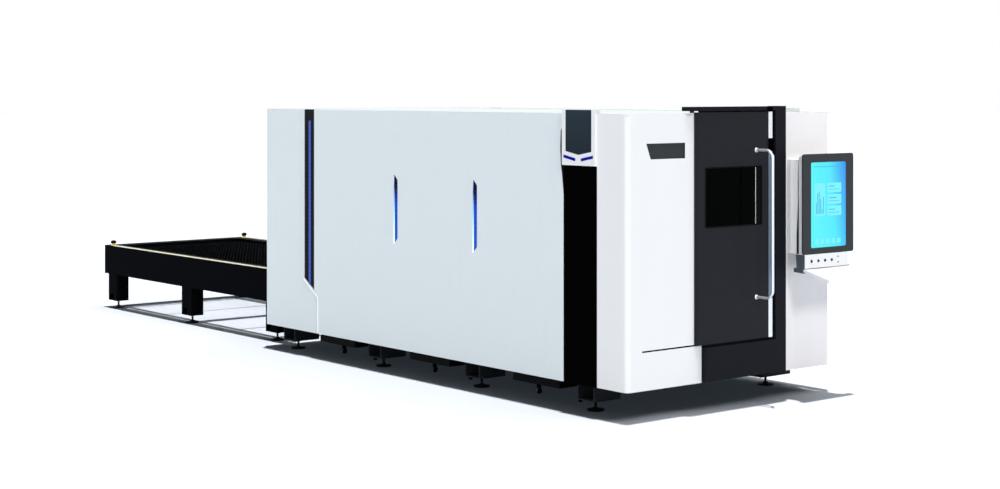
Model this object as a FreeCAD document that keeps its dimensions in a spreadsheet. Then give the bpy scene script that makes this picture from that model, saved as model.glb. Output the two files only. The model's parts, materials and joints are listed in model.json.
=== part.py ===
import FreeCAD, Part
import math
import os
import re
import Sketcher

# An enclosed fiber laser cutting machine with a shuttle table standing behind it.
# X runs from the operator's left to the right, Y from the front door to the far end
# of the shuttle table and Z up from the floor, all in millimetres.
# Places are measured from the enclosure's front left corner on the floor. The datum
# then moves everything to the centre of the floor area that the machine covers.

ENCLOSURE = {
    "body_width": 2240,
    "body_length": 5010,
    "body_top": 2254,
    "panel_bottom": 207,
    "panel_depth": 35,
    "sheet_gauge": 3,
    "seam_gap": 4,
    "corner_radius": 40,
    "side_return": 330,
    "frame_bar": 40,
    "roof_depth": 36,
    "roof_bays": 3,
    "portal_play": 20,
    "portal_top": 860,
}
SIDES = {
    "pillar_width": 374,
    "cap_drop": 393,
    "cap_rise": 28,
    "cap_proud": 20,
    "cap_front": 330,
    "cap_width": 380,
    "inlay_width": 297,
    "inlay_foot": 106,
    "inlay_tip_foot": 80,
    "inlay_depth": 6,
    "dash_thick": 22,
    "dash_proud": 2,
    "dash_inner": 33,
    "dash_outer": 166,
    "dash_foot": 32,
    "dash_rise": 25,
    "groove_front": 4132,
    "groove_low": 541,
    "strip_front": 4192,
    "strip_width": 178,
    "strip_low": 595,
    "strip_slope": 102,
    "strip_recess": 15,
    "blue_width": 32,
    "blue_clear": 6,
    "blue_drop": 103,
    "blue_thick": 5,
    "slot_rear": 2929,
    "slot_width": 48,
    "slot_pitch": 1102,
    "slot_low": 1113,
    "slot_high": 1704,
    "slot_slope": 46,
    "slot_recess": 20,
    "slot_flange": 12,
}
FRONT = {
    "left_panel_width": 770,
    "column_left": 1548,
    "column_right": 1668,
    "frame_proud": 45,
    "frame_bottom": 216,
    "frame_rise": 52,
    "kick_top": 474,
    "jamb_width": 52,
    "sill_height": 38,
    "door_left": 688,
    "door_right": 1524,
    "door_low": 496,
    "door_rise": 8,
    "door_gap": 4,
    "door_thick": 26,
    "door_edge_radius": 20,
    "edge_strip_width": 43,
    "edge_strip_proud": 3,
    "window_left": 781,
    "window_right": 1406,
    "window_low": 1384,
    "window_high": 1840,
    "rail_left": 595,
    "rail_step": 18,
    "rail_depth": 32,
    "rail_slot": 14,
    "hanger_first": 1154,
    "hanger_pitch": 308,
    "hanger_wheel_radius": 9,
    "stop_place": 628,
    "end_block_left": 1455,
    "end_block_width": 56,
    "lock_drop": 208,
    "lock_height": 99,
    "slit_left": 150,
    "slit_low": 490,
    "slit_height": 12,
    "slit_depth": 26,
    "finger_place": 710,
    "inset_left": 192,
    "inset_right": 596,
    "inset_height": 117,
    "inset_drop": 220,
    "inset_slope": 45,
    "inset_depth": 12,
    "handle_place": 1345,
    "handle_reach": 170,
    "handle_low": 820,
    "handle_high": 1965,
    "handle_drop": 42,
    "handle_radius": 11,
    "handle_bend": 45,
}
CONSOLE = {
    "mount_left": 1732,
    "mount_right": 2192,
    "mount_reach": 108,
    "mount_low": 1140,
    "mount_high": 1880,
    "screen_left": 1786,
    "screen_right": 2206,
    "screen_low": 1186,
    "screen_high": 1860,
    "bezel_left": 1690,
    "bezel_right": 2295,
    "bezel_low": 1137,
    "bezel_high": 1927,
    "bezel_thick": 12,
    "bezel_radius": 22,
    "screen_radius": 14,
    "body_thick": 38,
    "body_inset": 9,
    "back_thick": 44,
    "back_thin": 12,
    "keys_left": 1700,
    "keys_right": 2212,
    "keys_low": 1030,
    "keys_reach": 212,
    "keys_back": 130,
    "button_radius": 9,
    "button_first": 1779,
    "button_pitch": 80,
    "button_height": 1084,
    "button_proud": 7,
    "button_length": 22,
    "running_gap": 0.3,
    "port_place": 2096,
    "port_width": 16,
    "port_height": 9,
    "port_pitch": 46,
    "tray_width": 550,
    "tray_reach": 458,
    "tray_drop": 66,
    "tray_thick": 21,
    "cheek_front": 197,
    "cheek_back": 100,
    "cheek_height": 38,
}
BED = {
    "bed_offset": 40,
    "girder_clear": 90,
    "girder_width": 210,
    "girder_top": 720,
    "girder_wall": 12,
    "girder_front": 60,
    "girder_rear_gap": 70,
    "window_length": 560,
    "window_height": 200,
    "window_floor": 430,
    "tube_low": 84,
    "tube_high": 204,
    "tube_width": 190,
    "tube_wall": 8,
    "tube_inset": 30,
    "tie_high": 284,
    "foot_first": 490,
    "foot_last": 350,
    "foot_left": 130,
    "foot_right_inset": 226,
    "pad_radius": 67,
    "pad_height": 14,
    "stud_radius": 11,
    "nut_width": 36,
    "nut_height": 16,
    "guide_width": 30,
    "guide_height": 28,
    "guide_inset": 105,
    "rack_size": 25,
}
GANTRY = {
    "gantry_centre": 640,
    "gantry_width": 220,
    "gantry_low": 800,
    "gantry_high": 1040,
    "gantry_overhang": 75,
    "gantry_wall": 12,
    "block_length": 420,
    "block_width": 110,
    "cross_guide": 20,
    "cross_low": 850,
    "cross_high": 980,
    "saddle_width": 260,
    "saddle_thick": 25,
    "column_width": 180,
    "column_depth": 64,
    "column_top": 1260,
    "column_clear": 10,
    "slide_width": 140,
    "slide_thick": 25,
    "slide_low": 900,
    "slide_height": 250,
    "clamp_depth": 56,
    "head_radius": 55,
    "head_high": 1130,
    "nozzle_low": 700,
    "nozzle_radius": 12,
    "nozzle_height": 26,
}
TABLE = {
    "table_left": 204,
    "table_length": 3797,
    "beam_low": 375,
    "beam_high": 690,
    "beam_flange": 42,
    "beam_web": 8,
    "end_beam": 165,
    "leg_setback": 252,
    "leg_rear_inset": 197,
    "leg_length": 205,
    "leg_width": 140,
    "leg_wall": 10,
    "hatch_length": 90,
    "hatch_height": 60,
    "hatch_place": 35,
    "strip_inset": 3,
    "strip_wide": 26,
    "strip_high": 9,
    "strip_end": 199,
    "bumper_radius": 30,
    "bumper_height": 60,
    "bumper_end": 145,
    "lift_travel": 175,
    "shelf_top": 160,
    "carrier_setback": 50,
    "carrier_end": 177,
    "carrier_rise": 27,
    "carrier_gap": 6,
    "carrier_web": 6,
    "track_flange": 67,
    "track_thick": 6,
    "cylinder_radius": 24,
    "shelf_reach": 62,
    "rod_radius": 14,
}
PALLETS = {
    "pallet_length": 3120,
    "pallet_end": 282,
    "pallet_inside": 1205,
    "tip_height": 680,
    "slat_height": 100,
    "tooth_height": 30,
    "tooth_count": 8,
    "slat_gauge": 4,
    "slat_margin": 86,
    "slat_count": 33,
    "side_bar": 40,
    "side_bar_high": 70,
    "side_bar_drop": 25,
    "ledge_size": 20,
    "ledge_thick": 6,
    "roller_radius": 25,
    "roller_width": 20,
    "roller_drop": 122,
    "roller_count": 4,
    "cross_bar": 40,
    "rib_width": 30,
    "middle_rib_width": 150,
}
CARTS = {
    "cart_inset": 40,
    "cart_length": 1400,
    "cart_width": 560,
    "cart_offset": 315,
    "cart_low": 134,
    "cart_high": 192,
    "cart_wall": 4,
    "caster_radius": 25,
    "caster_width": 22,
    "caster_place": 240,
    "caster_side": 32,
}
DERIVED = {
    "cap_low": "body_top - cap_drop",
    "cap_top": "body_top + cap_rise",
    "inlay_low": "cap_low + inlay_foot",
    "inlay_tip": "cap_low + inlay_tip_foot",
    "dash_low": "cap_low + dash_foot",
    "frame_top": "body_top + frame_rise",
    "door_high": "body_top + door_rise",
    "rail_low": "body_top + rail_step",
    "rail_high": "rail_low + rail_depth",
    "lock_high": "door_high - lock_drop",
    "lock_low": "lock_high - lock_height",
    "inset_high": "body_top - inset_drop",
    "inset_low": "inset_high - inset_height",
    "blue_front": "strip_front + (strip_width - blue_width) / 2",
    "blue_low": "strip_low + blue_clear + (blue_front - strip_front) * strip_slope / strip_width",
    "blue_foot_rise": "blue_width * strip_slope / strip_width",
    "blue_high": "body_top - blue_drop",
    "bed_centre": "body_width / 2 - bed_offset",
    "girder_outer": "bed_centre - girder_clear",
    "girder_inner": "girder_outer - girder_width",
    "girder_length": "body_length - girder_front - girder_rear_gap",
    "guide_place": "girder_outer - guide_inset",
    "gantry_reach": "guide_place + gantry_overhang",
    "foot_pitch": "(body_length - foot_first - foot_last) / 3",
    "foot_right": "body_width - foot_right_inset",
    "table_rear": "body_length + table_length",
    "leg_front": "body_length + leg_setback",
    "leg_pitch": "(table_rear - leg_rear_inset - leg_front) / 2",
    "carrier_front": "body_length + carrier_setback",
    "carrier_length": "table_rear - carrier_end - carrier_front",
    "pallet_home": "table_rear - pallet_end - pallet_length",
    "slat_pitch": "(pallet_length - 2 * slat_margin - slat_gauge) / (slat_count - 1)",
    "pillar_front": "side_return + seam_gap",
    "pillar_rear": "pillar_front + pillar_width",
    "cap_middle": "cap_front + cap_width / 2",
    "strip_rear": "strip_front + strip_width",
    "door_front": "door_gap + door_thick",
    "rail_middle": "door_gap + door_thick / 2",
    "bezel_back": "keys_reach - 12 - bezel_thick + 2",
    "body_back": "bezel_back - body_thick",
    "track_high": "tip_height - roller_drop - roller_radius",
    "track_low": "track_high - lift_travel",
    "guide_top": "girder_top + guide_height",
    "gantry_back": "gantry_centre + gantry_width / 2",
    "saddle_front": "gantry_back + cross_guide + running_gap",
    "column_front": "saddle_front + saddle_thick",
    "slide_front": "column_front + column_depth + running_gap",
    "head_centre": "slide_front + slide_thick + clamp_depth",
    "carrier_half": "bed_centre - table_left - leg_width - carrier_gap",
    "pallet_half": "carrier_half - carrier_web - carrier_gap",
    "cylinder_place": "carrier_half + cylinder_radius * 2",
    "cylinder_bore": "rod_radius + running_gap",
    "datum_x": "(bezel_right - cap_proud - dash_proud) / 2",
    "datum_y": "(table_rear - tray_reach) / 2",
}

doc = FreeCAD.newDocument("LaserCuttingMachine")
sizes = doc.addObject("Spreadsheet::Sheet", "Sizes")
nodes = []


def fill_sheet():
    """Writes each size as a plain number and each derived place as a formula."""
    row = 0
    groups = (ENCLOSURE, SIDES, FRONT, CONSOLE, BED, GANTRY, TABLE, PALLETS, CARTS)
    for group in groups:
        for alias, number in group.items():
            row += 1
            sizes.set(f"A{row}", alias)
            sizes.set(f"B{row}", str(number))
            sizes.setAlias(f"B{row}", alias)
    for alias, formula in DERIVED.items():
        row += 1
        sizes.set(f"A{row}", alias)
        sizes.set(f"B{row}", "=" + formula)
        sizes.setAlias(f"B{row}", alias)
    doc.recompute()


def bound(text):
    """A formula over the sheet's names, such as body_width / 2, as the document reads it."""
    return re.sub(r"\b([a-z]+(?:_[a-z]+)+)\b", r"Sizes.\1", str(text))


def value(alias):
    """The number that a name of the sheet stands for."""
    return float(getattr(sizes, alias))


def bind(thing, name, text):
    thing.setExpression(name, bound(text))


def seat(thing, x="0", y="0", z="0"):
    """Places a thing from the front left corner, less the datum."""
    bind(thing, "Placement.Base.x", f"({x}) - datum_x")
    bind(thing, "Placement.Base.y", f"({y}) - datum_y")
    bind(thing, "Placement.Base.z", z)


def box(x, y, z, name="Block"):
    """A block between the low and high places given along each axis."""
    block = doc.addObject("Part::Box", name)
    for side, (low, high) in zip(("Length", "Width", "Height"), (x, y, z)):
        bind(block, side, f"({high}) - ({low})")
    seat(block, x[0], y[0], z[0])
    return block


TURNS = {
    "x": FreeCAD.Rotation(FreeCAD.Vector(0, 1, 0), 90),
    "y": FreeCAD.Rotation(FreeCAD.Vector(1, 0, 0), -90),
    "z": FreeCAD.Rotation(),
}


def rod(axis, radius, length, x, y, z, name="Rod", sides=0):
    """A bar of a given length that starts at (x, y, z) and runs along an axis.

    It is round, or many-sided where small round pieces repeat.
    """
    bar = doc.addObject("Part::Prism" if sides else "Part::Cylinder", name)
    if sides:
        bar.Polygon = sides
    bind(bar, "Circumradius" if sides else "Radius", radius)
    bind(bar, "Height", length)
    bar.Placement.Rotation = TURNS[axis]
    seat(bar, x, y, z)
    return bar


def fuse(*things):
    whole = doc.addObject("Part::MultiFuse", "Welded")
    whole.Shapes = list(things)
    whole.Refine = True
    return whole


def cut(base, *tools):
    whole = doc.addObject("Part::Cut", "Cut")
    whole.Base = base
    whole.Tool = tools[0] if len(tools) == 1 else fuse(*tools)
    return whole


def group(*things):
    """Pieces that share a node and stay separate solids."""
    whole = doc.addObject("Part::Compound", "Set")
    whole.Links = list(things)
    return whole


def mirrored(source, plane="body_width / 2"):
    """The like piece on the other side of a plane across X."""
    other = doc.addObject("Part::Mirroring", "Mirrored")
    other.Source = source
    other.Normal = FreeCAD.Vector(1, 0, 0)
    bind(other, "Base.x", f"({plane}) - datum_x")
    return other


def both_beams(source):
    """A piece with its mirror image about the middle of the bed."""
    return [source, mirrored(source, "bed_centre")]


def node(label, thing):
    thing.Label = label
    nodes.append(thing)
    return thing


def origin_feature(body, role):
    return [part for part in body.Origin.OriginFeatures if part.Role == role][0]


def draw(body, plane, offset, outlines):
    """A sketch of closed outlines, each corner held to the sheet by its two places."""
    sketch = body.newObject("Sketcher::SketchObject", "Outline")
    sketch.AttachmentSupport = [(origin_feature(body, plane + "_Plane"), "")]
    sketch.MapMode = "FlatFace"
    bind(sketch, "AttachmentOffset.Base.z", offset)
    for outline in outlines:
        add_outline(sketch, outline)
    return sketch


def add_outline(sketch, corners):
    first, count = sketch.GeometryCount, len(corners)
    angles = [2 * math.pi * turn / count for turn in range(count + 1)]
    spots = [FreeCAD.Vector(50 * math.cos(a), 50 * math.sin(a), 0) for a in angles]
    sides = [Part.LineSegment(spots[n], spots[(n + 1) % count]) for n in range(count)]
    sketch.addGeometry(sides, False)
    for n in range(count):
        following = first + (n + 1) % count
        sketch.addConstraint(Sketcher.Constraint("Coincident", first + n, 2, following, 1))
    for n, places in enumerate(corners):
        for kind, place, start in zip(("DistanceX", "DistanceY"), places, spots[n]):
            held = Sketcher.Constraint(kind, -1, 1, first + n, 1, start)
            number = sketch.addConstraint(held)
            bind(sketch, f"Constraints[{number}]", f"0 + {place}")


def extrude(plane, start, end, *outlines, name="Profile"):
    """A body with one outline, and any holes in it, drawn on a plane and padded.

    XY is drawn as (x, y), XZ as (x, z) and YZ as (y, z)."""
    body = doc.addObject("PartDesign::Body", name)
    offset = f"-({end})" if plane == "XZ" else start
    sketch = draw(body, plane, offset, outlines)
    pad = body.newObject("PartDesign::Pad", "Pad")
    pad.Profile = sketch
    bind(pad, "Length", f"({end}) - ({start})")
    seat(body)
    doc.recompute()
    return body


def pierce(body, plane, start, end, *outlines):
    """Cuts outlines through a body between two places along the plane's normal."""
    offset = f"-({start})" if plane == "XZ" else end
    before = body.Shape.Volume
    sketch = draw(body, plane, offset, outlines)
    pocket = body.newObject("PartDesign::Pocket", "Pocket")
    pocket.Profile = sketch
    bind(pocket, "Length", f"({end}) - ({start})")
    if plane == "XZ":
        pocket.Reversed = False
    doc.recompute()
    assert body.Shape.Volume < before - 1, body.Name
    return pocket


def hollow(body, side, gauge="sheet_gauge"):
    """Folds a body into a pan: a skin with returns, open on the face towards one side."""
    axis = FreeCAD.Vector(side)
    feature = body.Tip
    reach = max(axis.dot(face.CenterOfMass) for face in feature.Shape.Faces)
    open_faces = []
    for number, face in enumerate(feature.Shape.Faces, 1):
        if reach - axis.dot(face.CenterOfMass) < 0.001 and abs(face.normalAt(0, 0).dot(axis)) > 0.999:
            open_faces.append(f"Face{number}")
    shell = body.newObject("PartDesign::Thickness", "Folded")
    shell.Base = (feature, open_faces)
    bind(shell, "Value", gauge)
    shell.Join = 1
    shell.Reversed = True
    doc.recompute()
    return body


def round_edges(body, radius, along, picks):
    """Rounds the edges that run along an axis through the given pairs of places."""
    axis = FreeCAD.Vector(along)
    feature = body.Tip
    names = []
    for number, edge in enumerate(feature.Shape.Edges, 1):
        ends = edge.Vertexes
        if len(ends) < 2:
            continue
        run = ends[1].Point - ends[0].Point
        if run.Length < 0.001 or abs(run.normalize().dot(axis)) < 0.999:
            continue
        spot = ends[0].Point
        across = [spot[n] for n in range(3) if abs(axis[n]) < 0.5]
        if any(math.dist(across, pick) < 0.01 for pick in picks):
            names.append(f"Edge{number}")
    fillet = body.newObject("PartDesign::Fillet", "Rounded")
    fillet.Base = (feature, names)
    bind(fillet, "Radius", radius)
    doc.recompute()
    return body


def corners(low_first, high_first, low_second, high_second):
    """The four corner picks of a rectangle whose sides are names of the sheet."""
    firsts = (value(low_first), value(high_first))
    seconds = (value(low_second), value(high_second))
    return [(a, b) for a in firsts for b in seconds]


def rectangle(low_first, high_first, low_second, high_second):
    return [(low_first, low_second), (high_first, low_second),
            (high_first, high_second), (low_first, high_second)]


def turned(outline, x, y, z, name="Turned"):
    """A body turned about the vertical: the outline is (radius, height) from its seat."""
    body = doc.addObject("PartDesign::Body", name)
    sketch = draw(body, "XZ", "0 * seam_gap", [outline])
    turn = body.newObject("PartDesign::Revolution", "Turn")
    turn.Profile = sketch
    turn.ReferenceAxis = (sketch, ["V_Axis"])
    turn.Angle = 360
    seat(body, x, y, z)
    doc.recompute()
    return body


def repeat(body, direction, pitch, count):
    """A row of copies of a body's last feature."""
    row = body.newObject("PartDesign::LinearPattern", "Row")
    row.Originals = [body.Tip]
    row.Direction = (origin_feature(body, direction + "_Axis"), [""])
    bind(row, "Length", f"({pitch}) * ({count} - 1)")
    bind(row, "Occurrences", count)
    body.Tip = row
    doc.recompute()
    return body


# Where the machine stands ---------------------------------------------------------------

def foot_places():
    """Each levelling foot's place, under the base tubes and under the table's legs."""
    places = []
    for step in range(4):
        for x in ("foot_left", "foot_right"):
            places.append((x, f"foot_first + {step} * foot_pitch"))
    for step in range(3):
        for x in ("table_left + leg_width / 2",
                  "2 * bed_centre - table_left - leg_width / 2"):
            places.append((x, f"leg_front + {step} * leg_pitch"))
    return places


def make_feet():
    """Round pads, each with a stud and the nut that is run up against what it carries."""
    pads, screws = [], []
    for x, y in foot_places():
        pads.append(rod("z", "pad_radius", "pad_height", x, y, "0", "Pad", 16))
        stud = rod("z", "stud_radius", "tube_low - pad_height", x, y, "pad_height", "Stud", 8)
        nut = rod("z", "nut_width / 2 / cos(30)", "nut_height", x, y, "tube_low - nut_height",
                  "Nut", 6)
        screws.append(fuse(stud, nut))
    node("foot_pads", group(*pads))
    node("levelling_screws", group(*screws))


# The machine's base and bed -------------------------------------------------------------

def make_base_tubes():
    """Open box tubes under both girders, in line in pairs to take a lift truck's forks."""
    tubes = []
    for step in range(4):
        middle = f"foot_first + {step} * foot_pitch"
        half, bore = "tube_width / 2", "(tube_width / 2 - tube_wall)"
        for x in (("tube_inset", "bed_centre - girder_inner"),
                  ("bed_centre + girder_inner", "body_width - tube_inset")):
            outer = box(x, (f"{middle} - {half}", f"{middle} + {half}"),
                        ("tube_low", "tube_high"))
            inner = box((f"{x[0]} - 1", f"{x[1]} + 1"),
                        (f"{middle} - {bore}", f"{middle} + {bore}"),
                        ("tube_low + tube_wall", "tube_high - tube_wall"))
            tubes.append(cut(outer, inner))
    node("base_tubes", group(*tubes))


def make_girder():
    """One long box girder of the bed, with access windows through both walls."""
    left = "bed_centre - girder_outer"
    right = "bed_centre - girder_inner"
    wall = "girder_wall"
    outer = rectangle(left, right, "tube_high", "girder_top")
    inner = rectangle(f"{left} + {wall}", f"{right} - {wall}",
                      f"tube_high + {wall}", f"girder_top - {wall}")
    girder = extrude("XZ", "girder_front", "girder_front + girder_length", outer, inner,
                     name="Girder")
    start = "foot_first + foot_pitch / 2 - window_length / 2"
    opening = rectangle(start, f"{start} + window_length", "window_floor",
                        "window_floor + window_height")
    pierce(girder, "YZ", f"{left} - 1", f"{right} + 1", opening)
    return repeat(girder, "Y", "foot_pitch", "3")


def make_bed():
    sides = both_beams(make_girder())
    ties = []
    for step in range(4):
        middle = f"foot_first + {step} * foot_pitch"
        ties.append(box(("bed_centre - girder_inner", "bed_centre + girder_inner"),
                        (f"{middle} - tube_width / 2", f"{middle} + tube_width / 2"),
                        ("tube_high", "tie_high"), "Tie"))
    node("machine_bed", fuse(*sides, *ties))


def make_bed_rails():
    """A linear guide and a drive rack along each girder."""
    y = ("girder_front + 60", "girder_front + girder_length - 60")
    middle = "bed_centre - guide_place"
    guide = box((f"{middle} - guide_width / 2", f"{middle} + guide_width / 2"), y,
                ("girder_top", "guide_top"), "Guide")
    rack = box(("bed_centre - girder_outer + 15", "bed_centre - girder_outer + 15 + rack_size"),
               y, ("girder_top", "girder_top + rack_size"), "Rack")
    node("bed_rails", group(*both_beams(guide), *both_beams(rack)))


def make_bed_tracks():
    """Angle tracks on the girders' inner walls that the pallets roll in on."""
    wall = "bed_centre - girder_inner"
    edge = "bed_centre - carrier_half + track_flange"
    thick = "track_thick"
    outline = [(wall, "track_low"), (edge, "track_low"), (edge, f"track_low - {thick}"),
               (f"{wall} + {thick}", f"track_low - {thick}"),
               (f"{wall} + {thick}", "track_low - 60"), (wall, "track_low - 60")]
    track = extrude("XZ", "pallet_inside - 60", "girder_front + girder_length", outline)
    node("bed_tracks", group(*both_beams(track)))


def make_enclosure_frame():
    """Square posts on the base tubes, with rails at the floor and under the roof."""
    bars = []
    low, high = "panel_depth", "body_width - panel_depth"
    top = "body_top - roof_depth"
    sides = ((low, f"{low} + frame_bar"), (f"{high} - frame_bar", high))
    length = ("panel_depth", "body_length - panel_depth")
    for x in sides:
        bars.append(box(x, length, ("tube_high", "tube_high + frame_bar"), "Sill"))
        bars.append(box(x, length, (f"{top} - frame_bar", top), "TopRail"))
        for step in range(4):
            y = f"foot_first + {step} * foot_pitch"
            bars.append(box(x, (f"{y} - frame_bar / 2", f"{y} + frame_bar / 2"),
                            ("tube_high", top), "Post"))
    for step in range(5):
        y = f"panel_depth + {step} * (body_length - 2 * panel_depth - frame_bar) / 4"
        bars.append(box((low, high), (y, f"{y} + frame_bar"), (f"{top} - frame_bar", top), "Bow"))
    node("enclosure_frame", fuse(*bars))


# The enclosure's long sides -------------------------------------------------------------

def slot_outline(step, grow="0"):
    """One light slot, whose long side is at the rear and whose ends slope."""
    rear = f"slot_rear - {step} * slot_pitch"
    front = f"{rear} - slot_width"
    return [(f"{rear} + {grow}", f"slot_low - {grow}"),
            (f"{rear} + {grow}", f"slot_high + {grow}"),
            (f"{front} - {grow}", f"slot_high - slot_slope + {grow}"),
            (f"{front} - {grow}", f"slot_low + slot_slope - {grow}")]


def make_side_panels():
    front, gap = "pillar_rear + seam_gap", "seam_gap / 2"
    outline = [(front, "panel_bottom"), (f"groove_front - {gap}", "panel_bottom"),
               (f"groove_front - {gap}", f"groove_low + {gap}"),
               (f"strip_front - {gap}", f"strip_low + {gap}"),
               (f"strip_front - {gap}", "body_top"), (front, "body_top")]
    panel = extrude("YZ", "0 * seam_gap", "panel_depth", outline, name="SidePanel")
    hollow(panel, (1, 0, 0))
    pierce(panel, "YZ", "-1", "sheet_gauge + 1", slot_outline(0), slot_outline(1))
    node("side_panel_left", panel)
    node("side_panel_right", mirrored(panel))


def make_rear_side_panels():
    gap = "seam_gap / 2"
    outline = [(f"groove_front + {gap}", "panel_bottom"), ("body_length", "panel_bottom"),
               ("body_length", "body_top"), (f"strip_rear + {gap}", "body_top"),
               (f"strip_rear + {gap}", "strip_low + strip_slope - seam_gap"),
               (f"strip_front + {gap}", "strip_low - seam_gap"),
               (f"groove_front + {gap}", f"groove_low - {gap}")]
    panel = extrude("YZ", "0 * seam_gap", "panel_depth", outline, name="RearSidePanel")
    hollow(panel, (1, 0, 0))
    node("rear_side_panels", group(panel, mirrored(panel)))


def make_recess_strips():
    """A dark strip set back between the side panels, with a slanted foot."""
    outline = [("strip_front", "strip_low"), ("strip_rear", "strip_low + strip_slope"),
               ("strip_rear", "body_top"), ("strip_front", "body_top")]
    strip = extrude("YZ", "strip_recess", "panel_depth", outline, name="RecessStrip")
    node("recess_strips", group(strip, mirrored(strip)))


def make_light_bars():
    """A light bar on each recessed strip and a light well behind each slot."""
    rear = "blue_front + blue_width"
    outline = [("blue_front", "blue_low"), (rear, "blue_low + blue_foot_rise"),
               (rear, "blue_high"), ("blue_front", "blue_high")]
    bar = extrude("YZ", "strip_recess - blue_thick", "strip_recess", outline, name="LightBar")
    wells = []
    for step in range(2):
        well = extrude("YZ", "sheet_gauge", "slot_recess + 4",
                       slot_outline(step, "slot_flange"), name="LightWell")
        pierce(well, "YZ", "sheet_gauge - 1", "slot_recess", slot_outline(step))
        wells.append(well)
    left = [bar, *wells]
    node("light_bars", group(*left, *[mirrored(piece) for piece in left]))


def make_pillars():
    outline = rectangle("pillar_front", "pillar_rear", "tube_high", "cap_low")
    pillar = extrude("YZ", "0 * seam_gap", "panel_depth", outline, name="Pillar")
    hollow(pillar, (1, 0, 0))
    node("pillars", group(pillar, mirrored(pillar)))


def inlay_outline(play):
    """The dark field in a cap: straight sides, open at the top, with a blunt V below."""
    half = f"(inlay_width / 2 - {play})"
    return [(f"cap_middle - {half}", "cap_top"), (f"cap_middle - {half}", f"inlay_low + {play}"),
            ("cap_middle", f"inlay_tip + {play}"), (f"cap_middle + {half}", f"inlay_low + {play}"),
            (f"cap_middle + {half}", "cap_top")]


def make_pillar_caps():
    outer = rectangle("cap_front", "cap_front + cap_width", "cap_low", "cap_top")
    cap = extrude("YZ", "-cap_proud", "0 * seam_gap", outer, name="Cap")
    round_edges(cap, "sheet_gauge", (0, 0, 1),
                [(-value("cap_proud"), value("cap_front")),
                 (-value("cap_proud"), value("cap_front") + value("cap_width"))])
    pierce(cap, "YZ", "-cap_proud - 1", "inlay_depth - cap_proud", inlay_outline("0"))
    root = box(("0", "panel_depth"), ("pillar_front", "pillar_rear"), ("cap_low", "cap_top"))
    whole = fuse(cap, root)
    node("pillar_caps", group(whole, mirrored(whole)))
    inlay = extrude("YZ", "inlay_depth - cap_proud - 3", "inlay_depth - cap_proud",
                    inlay_outline("running_gap"), name="Inlay")
    node("cap_inlays", group(inlay, mirrored(inlay)))


def make_cap_dashes():
    """Two short bars under each inlay that slope down to the middle."""
    dashes = []
    for side in ("-", "+"):
        inner = f"cap_middle {side} dash_inner"
        outer = f"cap_middle {side} dash_outer"
        outline = [(inner, "dash_low"), (outer, "dash_low + dash_rise"),
                   (outer, "dash_low + dash_rise + dash_thick"),
                   (inner, "dash_low + dash_thick")]
        dashes.append(extrude("YZ", "-cap_proud - dash_proud", "-cap_proud", outline,
                              name="Dash"))
    node("cap_dashes", group(*dashes, *[mirrored(dash) for dash in dashes]))


# The enclosure's front, rear and roof ---------------------------------------------------

def corner_sheet(end):
    """A sheet folded round a front corner: seen from above, with a return at each end."""
    gauge, deep = "sheet_gauge", "panel_depth"
    outline = [(end, "0"), ("0", "0"), ("0", "side_return"), (deep, "side_return"),
               (deep, f"side_return - {gauge}"), (gauge, f"side_return - {gauge}"),
               (gauge, gauge), (f"{end} - {gauge}", gauge), (f"{end} - {gauge}", deep),
               (end, deep)]
    sheet = extrude("XY", "panel_bottom", "body_top", outline, name="CornerSheet")
    round_edges(sheet, "corner_radius", (0, 0, 1), [(0, 0)])
    inner = value("sheet_gauge")
    round_edges(sheet, "corner_radius - sheet_gauge", (0, 0, 1), [(inner, inner)])
    return sheet


def inset_outline(grow="0"):
    """The dark plate by the door, whose left end slopes and whose right end is square."""
    return [(f"inset_left - {grow}", f"inset_high + {grow}"),
            (f"inset_left + inset_slope - {grow}", f"inset_low - {grow}"),
            (f"inset_right + {grow}", f"inset_low - {grow}"),
            (f"inset_right + {grow}", f"inset_high + {grow}")]


def make_front_panels():
    left = corner_sheet("left_panel_width")
    slit = rectangle("slit_left", "left_panel_width - sheet_gauge - 1", "slit_low",
                     "slit_low + slit_height")
    pierce(left, "XZ", "-1", "sheet_gauge + 1", inset_outline(), slit)
    node("front_panel_left", left)
    right = mirrored(corner_sheet("body_width - column_right"))
    node("front_panel_right", right)


def make_front_insets():
    """The dark tray seen through the upper cut-out, and the channel behind the slit."""
    tray = extrude("XZ", "sheet_gauge", "inset_depth + sheet_gauge",
                   inset_outline("slot_flange"), name="InsetTray")
    pierce(tray, "XZ", "sheet_gauge - 1", "inset_depth", inset_outline())
    node("inset_plate", tray)
    ends = ("slit_left", "left_panel_width - sheet_gauge - 1")
    outer = box((f"{ends[0]} - 6", ends[1]), ("sheet_gauge", "slit_depth"),
                ("slit_low - 10", "slit_low + slit_height + 10"))
    mouth = box((ends[0], f"{ends[1]} + 1"), ("sheet_gauge - 1", "slit_depth - 4"),
                ("slit_low", "slit_low + slit_height"))
    node("guide_channel", cut(outer, mouth))


def make_door_frame():
    """The dark frame that carries the door: a column with a kick panel beside it."""
    outline = [("left_panel_width", "frame_bottom"), ("column_right", "frame_bottom"),
               ("column_right", "frame_top"), ("column_left", "frame_top"),
               ("column_left", "kick_top"), ("left_panel_width", "kick_top")]
    frame = extrude("XZ", "-frame_proud", "panel_depth", outline, name="DoorFrame")
    hollow(frame, (0, 1, 0))
    gauge = "sheet_gauge"
    sill, jamb = f"kick_top + sill_height", f"column_left - jamb_width"
    rebate = [("left_panel_width", f"kick_top - {gauge}"),
              (f"column_left + {gauge}", f"kick_top - {gauge}"),
              (f"column_left + {gauge}", "body_top"), (jamb, "body_top"), (jamb, sill),
              ("left_panel_width", sill)]
    stop = extrude("XZ", "0 * seam_gap", "panel_depth", rebate, name="Rebate")
    hollow(stop, (0, 1, 0))
    node("door_frame", fuse(frame, stop))


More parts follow.
